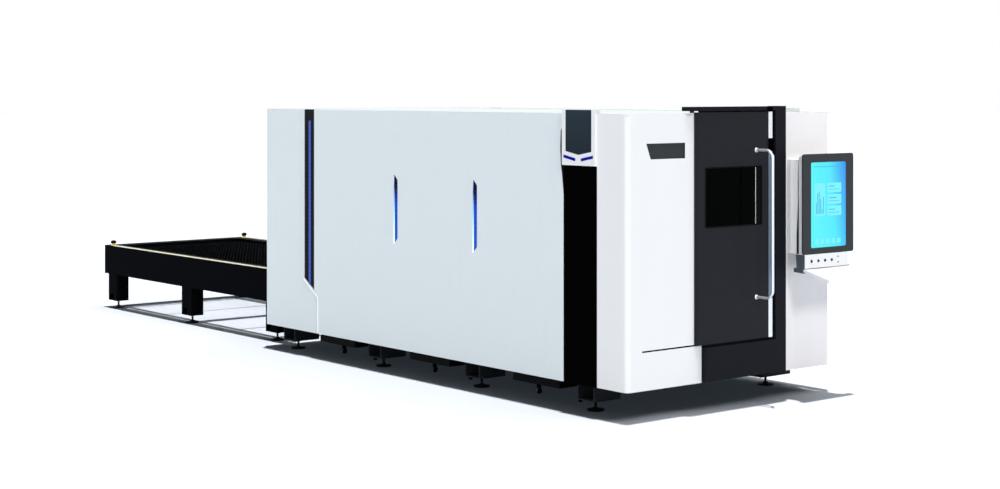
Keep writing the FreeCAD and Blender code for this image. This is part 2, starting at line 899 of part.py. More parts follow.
def make_header_rail():
    """The track over the door: a box with a slot below for the hangers, and its end blocks."""
    gauge = "sheet_gauge"
    outer = rectangle("-frame_proud", "panel_depth", "rail_low", "rail_high")
    rail = extrude("YZ", "rail_left", "column_left", outer, name="HeaderRail")
    cavity = rectangle("-rail_middle - 22", "22 - rail_middle", f"rail_low + {gauge}",
                       f"rail_high - {gauge}")
    pierce(rail, "YZ", "rail_left + 8", "column_left", cavity)
    slot = rectangle("-rail_middle - rail_slot / 2", "rail_slot / 2 - rail_middle",
                     "rail_low - 1", f"rail_low + {gauge} + 1")
    pierce(rail, "YZ", "rail_left + 8", "column_left", slot)
    shoe = box(("left_panel_width", "column_left"), ("0", "panel_depth"),
               ("body_top", "rail_low"), "RailShoe")
    front = ("-frame_proud", "-door_front - edge_strip_proud - 1")
    stop = box(("stop_place - 18", "stop_place + 18"), front, ("body_top + 4", "rail_low"),
               "Stop")
    block = box(("end_block_left", "end_block_left + end_block_width"),
                ("-frame_proud - 3", "3 - frame_proud"), ("door_high + 5", "frame_top"),
                "EndBlock")
    node("header_rail", fuse(rail, shoe, stop, block))


def make_rear_panel():
    """The end wall, cut away below for the pallets."""
    half = "(girder_inner + portal_play)"
    low, high = "panel_depth + 1", "body_width - panel_depth - 1"
    outline = [(low, "panel_bottom"), (f"bed_centre - {half}", "panel_bottom"),
               (f"bed_centre - {half}", "portal_top"), (f"bed_centre + {half}", "portal_top"),
               (f"bed_centre + {half}", "panel_bottom"), (high, "panel_bottom"),
               (high, "body_top"), (low, "body_top")]
    panel = extrude("XZ", "body_length - panel_depth", "body_length", outline, name="RearPanel")
    hollow(panel, (0, -1, 0))
    node("rear_panel", panel)


def make_roof():
    """Shallow roof pans side by side on the top rails."""
    pans = []
    front, rear = "panel_depth + 1", "body_length - panel_depth - 1"
    for step in range(int(value("roof_bays"))):
        start = f"{front} + {step} * ({rear} - ({front})) / roof_bays"
        end = f"{front} + {step + 1} * ({rear} - ({front})) / roof_bays - 1"
        outline = rectangle("panel_depth + 1", "body_width - panel_depth - 1", start, end)
        pan = extrude("XY", "body_top - roof_depth", "body_top - 4", outline, name="RoofPan")
        pans.append(hollow(pan, (0, 0, -1)))
    node("roof_panels", group(*pans))


# The sliding door -----------------------------------------------------------------------

def make_door():
    strip = "door_right - edge_strip_width"
    outline = rectangle("door_left", strip, "door_low", "door_high")
    door = extrude("XZ", "-door_front", "-door_gap", outline, name="Door")
    round_edges(door, "door_edge_radius", (0, 0, 1), [(value("door_left"), -value("door_front"))])
    hollow(door, (0, 1, 0))
    opening = rectangle("window_left", "window_right", "window_low", "window_high")
    pierce(door, "XZ", "-door_front - 1", "-door_gap", opening)
    node("sliding_door", door)
    ring = rectangle("window_left + running_gap", "window_right - running_gap",
                     "window_low + running_gap", "window_high - running_gap")
    glass = extrude("XZ", "sheet_gauge - door_front - 2", "sheet_gauge + 3 - door_front", ring,
                    name="Window")
    node("door_window", glass)


def make_edge_strip():
    """The bright profile along the door's closing edge."""
    outline = rectangle("door_right - edge_strip_width", "door_right",
                        "-door_front - edge_strip_proud", "-door_gap")
    wall = "sheet_gauge"
    inner = rectangle(f"door_right - edge_strip_width + {wall}", f"door_right - {wall}",
                      f"{wall} - door_front - edge_strip_proud", f"-door_gap - {wall}")
    strip = extrude("XY", "door_low", "door_high", outline, inner, name="EdgeStrip")
    node("door_edge_strip", strip)


def make_door_fittings():
    """The hangers in the header rail, the finger in the slit and the lock's cover."""
    things = []
    middle = "-rail_middle"
    wheel = "hanger_wheel_radius"
    tread = "rail_low + sheet_gauge + running_gap"
    for step in range(2):
        x = f"hanger_first + {step} * hanger_pitch"
        blade = box((f"{x} - 20", f"{x} + 20"), (f"{middle} - 3", f"{middle} + 3"),
                    ("door_high", f"{tread} + 2 * {wheel} - 1"), "Blade")
        roller = rod("y", wheel, "36", x, f"{middle} - 18", f"{tread} + {wheel}", sides=12)
        things.append(fuse(roller, blade))
    z = ("slit_low + running_gap", "slit_low + slit_height - running_gap")
    tongue = box(("finger_place", "finger_place + 40"), ("-door_gap", "slit_depth / 2"), z)
    things.append(tongue)
    lock = box(("door_right - edge_strip_width - 2", "door_right + 2"),
               ("-door_front - edge_strip_proud - 5", "-door_front - edge_strip_proud"),
               ("lock_low", "lock_high"), "Lock")
    things.append(lock)
    node("door_fittings", group(*things))


def bend_points(points, radius):
    """Where a tube's bends start, pass and end, for each corner of its centre line."""
    bends = []
    for before, corner, after in zip(points, points[1:], points[2:]):
        back, ahead = (before - corner).normalize(), (after - corner).normalize()
        half = back.getAngle(ahead) / 2
        reach = radius / math.tan(half)
        middle = corner + (back + ahead).normalize() * (radius / math.sin(half) - radius)
        bends.append((corner + back * reach, middle, corner + ahead * reach))
    return bends


def bent_tube(points, radius, bend):
    """A tube of sixteen flats along straight runs joined by arcs."""
    edges, start = [], points[0]
    for entry, middle, leave in bend_points(points, bend):
        edges.append(Part.LineSegment(start, entry).toShape())
        edges.append(Part.Arc(entry, middle, leave).toShape())
        start = leave
    edges.append(Part.LineSegment(start, points[-1]).toShape())
    turn = FreeCAD.Rotation(FreeCAD.Vector(0, 0, 1), points[1] - points[0])
    ring = [points[0] + turn * FreeCAD.Vector(radius * math.cos(step * math.pi / 8),
                                              radius * math.sin(step * math.pi / 8), 0)
            for step in range(17)]
    return Part.Wire(edges).makePipeShell([Part.makePolygon(ring)], True, False)


def make_handle():
    """A bright bar down the door, bent at 45 degrees into a stand-off at each end."""
    face = -value("door_front")
    reach, drop = value("handle_reach"), value("handle_drop")
    low, high = value("handle_low"), value("handle_high")
    points = [FreeCAD.Vector(0, y, z) for y, z in (
        (face, low), (face - reach + drop, low), (face - reach, low + drop),
        (face - reach, high - drop), (face - reach + drop, high), (face, high))]
    handle = doc.addObject("Part::Feature", "Handle")
    handle.Shape = bent_tube(points, value("handle_radius"), value("handle_bend"))
    seat(handle, "handle_place")
    node("door_handle", handle)


# The operator's console -----------------------------------------------------------------

def make_console_mount():
    outline = rectangle("mount_left", "mount_right", "mount_low", "mount_high")
    mount = extrude("XZ", "-mount_reach", "0 * seam_gap", outline, name="ConsoleMount")
    round_edges(mount, "sheet_gauge * 2", (0, 0, 1),
                [(value("mount_left"), -value("mount_reach")),
                 (value("mount_right"), -value("mount_reach"))])
    hollow(mount, (0, 1, 0))
    node("console_mount", mount)


def make_monitor():
    left, right = "bezel_left + body_inset", "bezel_right - body_inset"
    low, high = "bezel_low", "bezel_high - body_inset"
    housing = extrude("XZ", "-bezel_back", "-body_back", rectangle(left, right, low, high),
                      name="MonitorBody")
    round_edges(housing, "bezel_radius - body_inset / 2", (0, 1, 0),
                [(value("bezel_left") + value("body_inset"), value("bezel_high") - value("body_inset")),
                 (value("bezel_right") - value("body_inset"),
                  value("bezel_high") - value("body_inset"))])
    node("monitor_housing", housing)
    back = "-body_back"
    shape = [(back, "mount_low"), (back, "mount_high - 10"), (f"back_thin {back}", "mount_high - 10"),
             (f"back_thin + 6 {back}", "mount_high - 260"),
             (f"back_thick - 8 {back}", "mount_low + 290"), (f"back_thick {back}", "mount_low + 150"),
             (f"back_thick {back}", "mount_low")]
    cover = extrude("YZ", "mount_left - 10", "mount_right + 10", shape, name="MonitorBack")
    node("monitor_back", cover)


def make_screen():
    left, right, low, high = "screen_left", "screen_right", "screen_low", "screen_high"
    outer = rectangle("bezel_left", "bezel_right", "bezel_low", "bezel_high")
    bezel = extrude("XZ", "-bezel_back - bezel_thick", "-bezel_back", outer, name="Bezel")
    round_edges(bezel, "bezel_radius", (0, 1, 0),
                corners("bezel_left", "bezel_right", "bezel_low", "bezel_high"))
    pierce(bezel, "XZ", "-bezel_back - bezel_thick - 1", "1 - bezel_back",
           rectangle(left, right, low, high))
    round_edges(bezel, "screen_radius", (0, 1, 0), corners(left, right, low, high))
    node("monitor_bezel", bezel)
    play = "running_gap"
    glass = extrude("XZ", "3 - bezel_back - bezel_thick", "-bezel_back",
                    rectangle(f"{left} + {play}", f"{right} - {play}", f"{low} + {play}",
                              f"{high} - {play}"), name="Screen")
    gap = value("running_gap")
    picks = [(x + (gap if x == value(left) else -gap), z + (gap if z == value(low) else -gap))
             for x, z in corners(left, right, low, high)]
    round_edges(glass, "screen_radius", (0, 1, 0), picks)
    node("touch_screen", glass)


def make_key_box():
    """The box of buttons under the screen, with a hole for each button and port."""
    outline = rectangle("-keys_reach", "-keys_back", "keys_low", "bezel_low")
    shell = extrude("YZ", "keys_left", "keys_right", outline, name="KeyBox")
    hollow(shell, (0, 1, 0))
    holes = [rod("y", "button_radius + running_gap", "sheet_gauge + 2",
                 f"button_first + {step} * button_pitch", "-keys_reach - 1", "button_height",
                 sides=24)
             for step in range(4)]
    for side in ("-", "+"):
        z = f"button_height {side} port_pitch / 2"
        holes.append(box(("port_place - port_width / 2", "port_place + port_width / 2"),
                         ("-keys_reach - 1", "sheet_gauge + 1 - keys_reach"),
                         (f"{z} - port_height / 2", f"{z} + port_height / 2")))
    node("button_box", cut(shell, *holes))


def make_buttons():
    for step in range(4):
        x = f"button_first + {step} * button_pitch"
        push = rod("y", "button_radius", "button_length", x, "-keys_reach - button_proud",
                   "button_height", "Button", 24)
        node(f"push_button_{step + 1}", push)


def make_ports():
    ports = []
    play = "running_gap"
    for side in ("-", "+"):
        z = f"button_height {side} port_pitch / 2"
        ports.append(box((f"port_place - port_width / 2 + {play}",
                          f"port_place + port_width / 2 - {play}"),
                         ("-keys_reach - 1", "24 - keys_reach"),
                         (f"{z} - port_height / 2 + {play}", f"{z} + port_height / 2 - {play}")))
    node("data_ports", group(*ports))


def make_tray():
    """A keyboard tray that slopes forward from a folded dark support."""
    right = "keys_left + tray_width"
    support = [("-cheek_back", "keys_low"), ("-cheek_front", "keys_low"),
               ("-cheek_front", "keys_low - cheek_height"),
               ("-cheek_back", "keys_low - cheek_height + 5")]
    wall = "sheet_gauge"
    bore = [(f"-cheek_back - {wall}", f"keys_low - {wall}"),
            (f"{wall} - cheek_front", f"keys_low - {wall}"),
            (f"{wall} - cheek_front", f"keys_low - cheek_height + {wall}"),
            (f"-cheek_back - {wall}", f"keys_low - cheek_height + 5 + {wall}")]
    cheek = extrude("YZ", "keys_left", right, support, bore, name="TraySupport")
    node("tray_support", cheek)
    top = "keys_low - 5"
    front = f"{top} - tray_drop"
    lip = "tray_thick"
    outline = [("-cheek_front", top), ("-tray_reach", front), ("-tray_reach", f"{front} - {lip}"),
               ("3 - tray_reach", f"{front} - {lip}"), ("3 - tray_reach", f"{front} - 2"),
               ("-cheek_front", f"{top} - 3")]
    tray = extrude("YZ", "keys_left + 3", f"{right} - 3", outline, name="Tray")
    ends = [("-cheek_front", top), ("-tray_reach", front), ("-tray_reach", f"{front} - {lip}"),
            ("-cheek_front", f"{top} - {lip}")]
    left_end = extrude("YZ", "keys_left", "keys_left + 3", ends, name="TrayEnd")
    right_end = extrude("YZ", f"{right} - 3", right, ends, name="TrayEnd")
    node("keyboard_tray", fuse(tray, left_end, right_end))


# The gantry and the cutting head --------------------------------------------------------

def make_gantry():
    """A box beam across the bed on a runner block over each guide."""
    low, high, wall = "gantry_low", "gantry_high", "gantry_wall"
    front = "gantry_centre - gantry_width / 2"
    outer = rectangle(front, "gantry_back", low, high)
    inner = rectangle(f"{front} + {wall}", f"gantry_back - {wall}", f"{low} + {wall}",
                      f"{high} - {wall}")
    beam = extrude("YZ", "bed_centre - gantry_reach", "bed_centre + gantry_reach", outer, inner,
                   name="GantryBeam")
    middle = "bed_centre - guide_place"
    block = box((f"{middle} - block_width / 2", f"{middle} + block_width / 2"),
                ("gantry_centre - block_length / 2", "gantry_centre + block_length / 2"),
                ("guide_top - 20", low), "Runner")
    groove = box((f"{middle} - guide_width / 2 - running_gap",
                  f"{middle} + guide_width / 2 + running_gap"),
                 ("gantry_centre - block_length / 2 - 1", "gantry_centre + block_length / 2 + 1"),
                 ("guide_top - 21", "guide_top + running_gap"), "Groove")
    runner = cut(block, groove)
    node("gantry_beam", fuse(beam, *both_beams(runner)))
    x = ("bed_centre - gantry_reach + 20", "bed_centre + gantry_reach - 20")
    y = ("gantry_back", "gantry_back + cross_guide")
    lines = [box(x, y, (z, f"{z} + 22"), "CrossGuide") for z in ("cross_low", "cross_high")]
    node("gantry_rails", group(*lines))


def make_head_saddle():
    """The saddle that runs along the gantry, with the column for the head's slide."""
    plate = box(("bed_centre - saddle_width / 2", "bed_centre + saddle_width / 2"),
                ("saddle_front", "column_front"), ("cross_low - 30", "cross_high + 50"), "Saddle")
    column = box(("bed_centre - column_width / 2", "bed_centre + column_width / 2"),
                 ("column_front", "column_front + column_depth"),
                 ("gantry_low + column_clear", "column_top"), "Column")
    node("head_saddle", fuse(plate, column))


def make_head_slide():
    half = "slide_width / 2"
    top = "slide_low + slide_height"
    plate = box((f"bed_centre - {half}", f"bed_centre + {half}"),
                ("slide_front", "slide_front + slide_thick"), ("slide_low", top), "Slide")
    clamp = box((f"bed_centre - {half}", f"bed_centre + {half}"),
                ("slide_front + slide_thick", "head_centre"),
                ("slide_low + 60", f"{top} - 60"), "Clamp")
    seat_bore = rod("z", "head_radius + running_gap", "slide_height", "bed_centre",
                    "head_centre", "slide_low")
    node("head_slide", fuse(plate, cut(clamp, seat_bore)))


def make_cutting_head():
    """The head's body of revolution, from the fibre's collar to the nozzle's seat."""
    wide = "head_radius"
    tall = "head_high - nozzle_low"
    neck, shoulder = "nozzle_radius + 8", "nozzle_height + 90"
    outline = [("0", "nozzle_height"), (neck, "nozzle_height"), (wide, shoulder),
               (wide, f"{tall} - 60"), (f"{wide} * 0.6", f"{tall} - 60"),
               (f"{wide} * 0.6", tall), ("0", tall)]
    node("cutting_head", turned(outline, "bed_centre", "head_centre", "nozzle_low", "Head"))
    tip = [("0", "0"), ("nozzle_radius / 3", "0"), ("nozzle_radius", "nozzle_height"),
           ("0", "nozzle_height")]
    node("nozzle", turned(tip, "bed_centre", "head_centre", "nozzle_low", "Nozzle"))


# The shuttle table ----------------------------------------------------------------------

def leg_place(step):
    return f"leg_front + {step} * leg_pitch"


def make_leg(step):
    """A box-section leg with a closed foot."""
    middle = leg_place(step)
    half, wall = "leg_length / 2", "leg_wall"
    right = "table_left + leg_width"
    outer = box(("table_left", right), (f"{middle} - {half}", f"{middle} + {half}"),
                ("tube_low", "beam_low"), "Leg")
    inner = box((f"table_left + {wall}", f"{right} - {wall}"),
                (f"{middle} - {half} + {wall}", f"{middle} + {half} - {wall}"),
                (f"tube_low + {wall}", f"beam_low - {wall}"), "LegBore")
    hatch = box(("table_left - 1", f"table_left + {wall} + 1"),
                (f"{middle} + hatch_place - hatch_length / 2",
                 f"{middle} + hatch_place + hatch_length / 2"),
                (f"tube_low + {wall}", f"tube_low + {wall} + hatch_height"), "Hatch")
    return cut(outer, inner, hatch)


def make_shelf(step):
    """A ledge on the far side of a leg, which a lift cylinder stands on."""
    edge = f"{leg_place(step)} + leg_length / 2"
    return box(("bed_centre - cylinder_place - cylinder_radius", "table_left + leg_width"),
               (edge, f"{edge} + shelf_reach"), ("shelf_top - 12", "shelf_top"), "Shelf")


def make_exchange_frame():
    """Channel beams with cover plates on six legs, closed by an end beam."""
    web, flange = "beam_web", "beam_flange"
    left = "table_left"
    outline = [(left, "beam_low"), (f"{left} + {flange}", "beam_low"),
               (f"{left} + {flange}", f"beam_low + {web}"), (f"{left} + {web}", f"beam_low + {web}"),
               (f"{left} + {web}", f"beam_high - {web}"),
               (f"{left} + {flange}", f"beam_high - {web}"), (f"{left} + {flange}", "beam_high"),
               (left, "beam_high")]
    beam = extrude("XZ", "body_length", "table_rear", outline, name="SideBeam")
    pieces = [beam]
    for step in range(3):
        pieces.append(make_leg(step))
    pieces += [make_shelf(0), make_shelf(1)]
    half = [piece for source in pieces for piece in both_beams(source)]
    right = "2 * bed_centre - table_left"
    end = box((left, right), ("table_rear - end_beam", "table_rear"), ("beam_low", "beam_high"),
              "EndBeam")
    tie = box((left, right), (f"{leg_place(0)} - 30", f"{leg_place(0)} + 30"),
              ("tube_low", "tube_low + 50"), "Tie")
    cover = box((f"{left} + {flange}", f"{left} + leg_width"),
                ("body_length", "table_rear - end_beam"), (f"beam_high - {web}", "beam_high"),
                "Cover")
    node("exchange_frame", group(fuse(*half, end, tie), *both_beams(cover)))


def make_table_trim():
    strip = box(("table_left + strip_inset", "table_left + strip_inset + strip_wide"),
                ("body_length", "table_rear - strip_end"), ("beam_high", "beam_high + strip_high"),
                "Strip")
    node("beam_strips", group(*both_beams(strip)))
    place = ("table_left + bumper_radius + 4", "table_rear - bumper_end")
    stem = rod("z", "bumper_radius * 0.8", "bumper_height / 2", *place, "beam_high", "Stem", 16)
    head = rod("z", "bumper_radius", "bumper_height / 2", *place,
               "beam_high + bumper_height / 2", "Buffer", 16)
    node("bumpers", group(*both_beams(fuse(stem, head))))


def cylinder_places():
    return [f"{leg_place(step)} + (leg_length + shelf_reach) / 2" for step in range(2)]


def make_lift_cylinders():
    barrels = []
    x = "bed_centre - cylinder_place"
    deep = "lift_travel + 20"
    for y in cylinder_places():
        shell = rod("z", "cylinder_radius", f"{deep} + 10", x, y, "shelf_top", "Barrel", 12)
        bore = rod("z", "cylinder_bore", f"{deep} + 1", x, y, "shelf_top + 10", "Bore", 12)
        barrels += both_beams(cut(shell, bore))
    node("lift_cylinders", group(*barrels))


def make_lift_carrier():
    """The lifting frame: two decks of track on each side, cross tubes and piston rods."""
    outer = "bed_centre - carrier_half"
    inner = f"{outer} + carrier_web"
    deck = (inner, f"{outer} + track_flange")
    thick = "track_thick"
    low, top = f"track_low - {thick}", "track_high + carrier_rise"
    y = ("carrier_front", "carrier_front + carrier_length")
    side = [box((outer, inner), y, (low, top), "CarrierWeb"),
            box(deck, y, (low, "track_low"), "LowerDeck"),
            box(deck, y, (f"track_high - {thick}", "track_high"), "UpperDeck")]
    foot = "shelf_top + lift_travel + 12"
    x = "bed_centre - cylinder_place"
    for place in cylinder_places():
        side.append(box((f"{x} - 20", outer), (f"{place} - 25", f"{place} + 25"),
                        (f"{top} - 15", top), "Ear"))
        side.append(rod("z", "rod_radius", f"{top} - 15 - ({foot})", x, place, foot, "Piston",
                        12))
    pieces = [piece for source in side for piece in both_beams(source)]
    across = (outer, "bed_centre + carrier_half")
    pieces.append(box(across, ("carrier_front + 360", "carrier_front + 420"),
                      (f"{low} - 60", low), "CrossTube"))
    pieces.append(box((deck[0], f"2 * bed_centre - ({deck[0]})"), (f"{y[1]} - 70", f"{y[1]} - 10"),
                      ("track_low", f"track_high - {thick}"), "EndTube"))
    node("lift_carrier", group(*pieces))


# The pallets ----------------------------------------------------------------------------

def slat_outline(low):
    """A slat seen from the front of the machine, its upper edge cut into teeth."""
    reach = "(pallet_half - side_bar - running_gap)"
    left = f"bed_centre - {reach}"
    pitch = f"(2 * {reach} / tooth_count)"
    tip = f"{low} + slat_height"
    root = f"{tip} - tooth_height"
    outline = [(f"bed_centre + {reach}", low), (left, low), (left, root)]
    for tooth in range(int(value("tooth_count"))):
        outline.append((f"{left} + {tooth + 0.5} * {pitch}", tip))
        outline.append((f"{left} + {tooth + 1} * {pitch}", root))
    return outline


def make_slats(front, low):
    start = f"{front} + slat_margin"
    slat = extrude("XZ", start, f"{start} + slat_gauge", slat_outline(low), name="Slat")
    return repeat(slat, "Y", "slat_pitch", "slat_count")


def make_pallet_side(front, tips):
    """A pallet's long side: bar, ledge under the slats, and rollers on hanger plates."""
    outer = "bed_centre - pallet_half"
    inner = f"{outer} + side_bar"
    bar_top = f"{tips} - side_bar_drop"
    bar_low = f"{bar_top} - side_bar_high"
    y = (front, f"{front} + pallet_length")
    ledge_top = f"{tips} - slat_height"
    pieces = [box((outer, inner), y, (bar_low, bar_top), "SideBar"),
              box((f"{inner} - 10", f"{inner} + ledge_size"), y,
                  (f"{ledge_top} - ledge_thick", ledge_top), "Ledge")]
    axle = f"{tips} - roller_drop"
    for step in range(int(value("roller_count"))):
        place = f"{front} + 120 + {step} * (pallet_length - 240) / (roller_count - 1)"
        pieces.append(box((inner, f"{inner} + 8"), (f"{place} - 22", f"{place} + 22"),
                          (f"{axle} - 12", f"{ledge_top} - ledge_thick"), "Hanger"))
        pieces.append(rod("x", "roller_radius", "roller_width", f"{inner} - roller_width", place,
                          axle, "Roller", 12))
    return pieces


def make_pallet(label, front, tips):
    sides = [piece for source in make_pallet_side(front, tips) for piece in both_beams(source)]
    inner = "pallet_half - side_bar"
    x = (f"bed_centre - ({inner})", f"bed_centre + {inner}")
    bar_top = f"{tips} - side_bar_drop"
    z = (f"{bar_top} - side_bar_high", bar_top)
    ends = [box(x, (front, f"{front} + cross_bar"), z, "EndBar"),
            box(x, (f"{front} + pallet_length - cross_bar", f"{front} + pallet_length"), z,
                "EndBar")]
    low = f"{tips} - slat_height - ledge_thick"
    ribs = []
    for step, width in ((1, "rib_width"), (2, "middle_rib_width"), (3, "rib_width")):
        y = f"{front} + {step} * pallet_length / 4"
        ribs.append(box(x, (f"{y} - {width} / 2", f"{y} + {width} / 2"), (f"{low} - 30", low),
                        "Rib"))
    node(f"pallet_frame_{label}", fuse(*sides, *ends, *ribs))
    node(f"pallet_slats_{label}", make_slats(front, f"{tips} - slat_height"))


# The slag carts -------------------------------------------------------------------------

def make_caster(x, y):
    """A wheel between the cheeks of a fork under the tray."""
    half = "caster_width / 2"
    cheek = ("caster_radius - 8", "cart_low")
    sides = [(f"{y} + {half}", f"{y} + {half} + 4"), (f"{y} - {half} - 4", f"{y} - {half}")]
    cheeks = [box((f"{x} - 12", f"{x} + 12"), side, cheek, "Cheek") for side in sides]
    wheel = rod("y", "caster_radius", "caster_width", x, f"{y} - {half}", "caster_radius",
                sides=12)
    return [*cheeks, wheel]


def make_cart(step):
    """An open tray on casters between two base tubes, with a pull lip on its end."""
    front = f"foot_first + {step} * foot_pitch + cart_offset"
    y = (front, f"{front} + cart_width")
    x = ("cart_inset", "cart_inset + cart_length")
    wall = "cart_wall"
    outer = box(x, y, ("cart_low", "cart_high"), "Tray")
    inner = box((f"{x[0]} + {wall}", f"{x[1]} - {wall}"), (f"{y[0]} + {wall}", f"{y[1]} - {wall}"),
                (f"cart_low + {wall}", "cart_high + 1"))
    pieces = [cut(outer, inner)]
    for along in ("cart_inset + caster_place", "cart_inset + cart_length - caster_place"):
        for across in (f"{y[0]} + caster_side", f"{y[1]} - caster_side"):
            pieces += make_caster(along, across)
    node(f"slag_cart_{step + 1}", fuse(*pieces))


def check_and_write():
    """Stops at anything that failed to build, then writes one file for each sub-part."""
    doc.recompute()
    for thing in doc.Objects:
        if "Invalid" in thing.State or "Error" in thing.State:
            raise RuntimeError(f"{thing.Name} {thing.Label} failed: {thing.State}")
    os.makedirs("parts", exist_ok=True)
    for thing in nodes:
        if thing.Shape.isNull() or not thing.Shape.isValid():
            raise RuntimeError(f"{thing.Label} has no sound shape")
        thing.Shape.exportStep(f"parts/{thing.Label}.step")


fill_sheet()
make_feet()
make_base_tubes()
make_bed()
make_bed_rails()
make_bed_tracks()
make_enclosure_frame()
make_side_panels()
make_rear_side_panels()
make_recess_strips()
make_light_bars()
make_pillars()
make_pillar_caps()
make_cap_dashes()
make_front_panels()
make_front_insets()
make_door_frame()
make_header_rail()
make_rear_panel()
make_roof()
make_door()
make_edge_strip()
make_door_fittings()
make_handle()
make_console_mount()
make_monitor()
make_screen()
make_key_box()
make_buttons()
make_ports()
make_tray()
make_gantry()
make_head_saddle()
make_head_slide()
make_cutting_head()
make_exchange_frame()
make_table_trim()
make_lift_cylinders()
make_lift_carrier()
make_pallet("upper", "pallet_home", "tip_height")
make_pallet("lower", "pallet_inside", "(tip_height - lift_travel)")
for number in range(3):
    make_cart(number)
check_and_write()
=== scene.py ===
import json
import math
import random

import bmesh
import bpy
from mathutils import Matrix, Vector

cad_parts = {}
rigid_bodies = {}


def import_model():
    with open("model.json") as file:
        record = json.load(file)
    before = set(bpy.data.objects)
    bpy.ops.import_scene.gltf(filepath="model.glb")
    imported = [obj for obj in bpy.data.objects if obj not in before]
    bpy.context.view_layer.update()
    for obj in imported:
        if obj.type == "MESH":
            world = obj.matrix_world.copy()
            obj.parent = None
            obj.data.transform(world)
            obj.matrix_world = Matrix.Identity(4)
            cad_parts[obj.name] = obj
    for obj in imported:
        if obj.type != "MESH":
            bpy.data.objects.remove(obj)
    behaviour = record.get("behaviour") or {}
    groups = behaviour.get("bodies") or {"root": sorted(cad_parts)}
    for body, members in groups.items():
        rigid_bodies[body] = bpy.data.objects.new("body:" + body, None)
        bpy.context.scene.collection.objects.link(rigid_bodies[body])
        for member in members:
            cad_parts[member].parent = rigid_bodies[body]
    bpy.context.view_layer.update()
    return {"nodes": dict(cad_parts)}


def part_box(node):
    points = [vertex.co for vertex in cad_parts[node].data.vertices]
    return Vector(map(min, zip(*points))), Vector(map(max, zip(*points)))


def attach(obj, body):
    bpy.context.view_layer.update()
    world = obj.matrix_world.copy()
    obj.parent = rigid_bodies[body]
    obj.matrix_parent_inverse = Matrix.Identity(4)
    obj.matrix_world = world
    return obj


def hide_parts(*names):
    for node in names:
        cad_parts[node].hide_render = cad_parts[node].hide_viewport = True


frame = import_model()
nodes = frame["nodes"]

# Places are in millimetres from the enclosure's front left corner on the floor: X to the
# operator's right, Y from the door to the far end of the table, Z up. The frame's own
# origin is in the middle of the floor area.
CORNER = Vector((-1.1365, -4.1745, 0.0))
WIDTH = 2240             # the enclosure, from side to side
LENGTH = 5010            # the enclosure, from the door to its rear panel
TOP = 2254               # the roof
BED_CENTRE = 1080        # the middle of the bed, the table and the pallets, across
TABLE_REAR = 8807        # the table's far end
TUBE_PITCH = 1390        # from one cross tube of the base to the next
UP = (0, 0, 1)
FORWARD = (0, -1, 0)     # out of the front
BACKWARD = (0, 1, 0)


def at(x, y, z):
    """A place in mm as a place in the frame."""
    return CORNER + Vector((x, y, z)) / 1000


# Colour, scale and nodes -----

def linear(code):
    """An sRGB hex code as linear light."""
    parts = [int(code[n:n + 2], 16) / 255 for n in (1, 3, 5)]
    return (*[c / 12.92 if c <= 0.04045 else ((c + 0.055) / 1.055) ** 2.4 for c in parts], 1.0)


def toned(code, by, lift=0.0):
    """A hex code's colour, made darker or lighter."""
    return (*[min(1.0, c * by + lift) for c in linear(code)[:3]], 1.0)


def cells(size):
    """A pattern's scale, from the real size in millimetres of one grain, line or cloud."""
    return 1000.0 / size


def add(tree, kind, inputs=None, stops=None, **settings):
    """Adds one node: its settings, its ramp's stops, then each input's value or link."""
    node = tree.nodes.new("ShaderNode" + kind)
    for name, setting in settings.items():
        setattr(node, name, setting)
    for n, (place, shade) in enumerate(stops or ()):
        elements = node.color_ramp.elements
        stop = elements[n] if n < 2 else elements.new(place)
        stop.position = place
        stop.color = shade if isinstance(shade, tuple) else (shade, shade, shade, 1.0)
    for name, source in (inputs or {}).items():
        if isinstance(source, bpy.types.Node):
            source = next(out for out in source.outputs if out.enabled)
        if isinstance(source, bpy.types.NodeSocket):
            tree.links.new(source, node.inputs[name])
        else:
            node.inputs[name].default_value = source
    return node


def blank(name):
    """A new material with nothing in its tree yet, and the object's own places to draw by."""
    paint = bpy.data.materials.new(name)
    paint.use_nodes = True
    paint.node_tree.nodes.clear()
    return paint, paint.node_tree, add(paint.node_tree, "TexCoord").outputs["Object"]


def up_the_height(tree, place, foot, head, stops):
    """Colours that follow each other from one height to another, in metres."""
    height = add(tree, "SeparateXYZ", {"Vector": place}).outputs["Z"]
    rise = add(tree, "MapRange", {"Value": height, "From Min": foot, "From Max": head})
    return add(tree, "ValToRGB", {"Fac": rise}, [(share, linear(code)) for share, code in stops])


# Painted steel -----

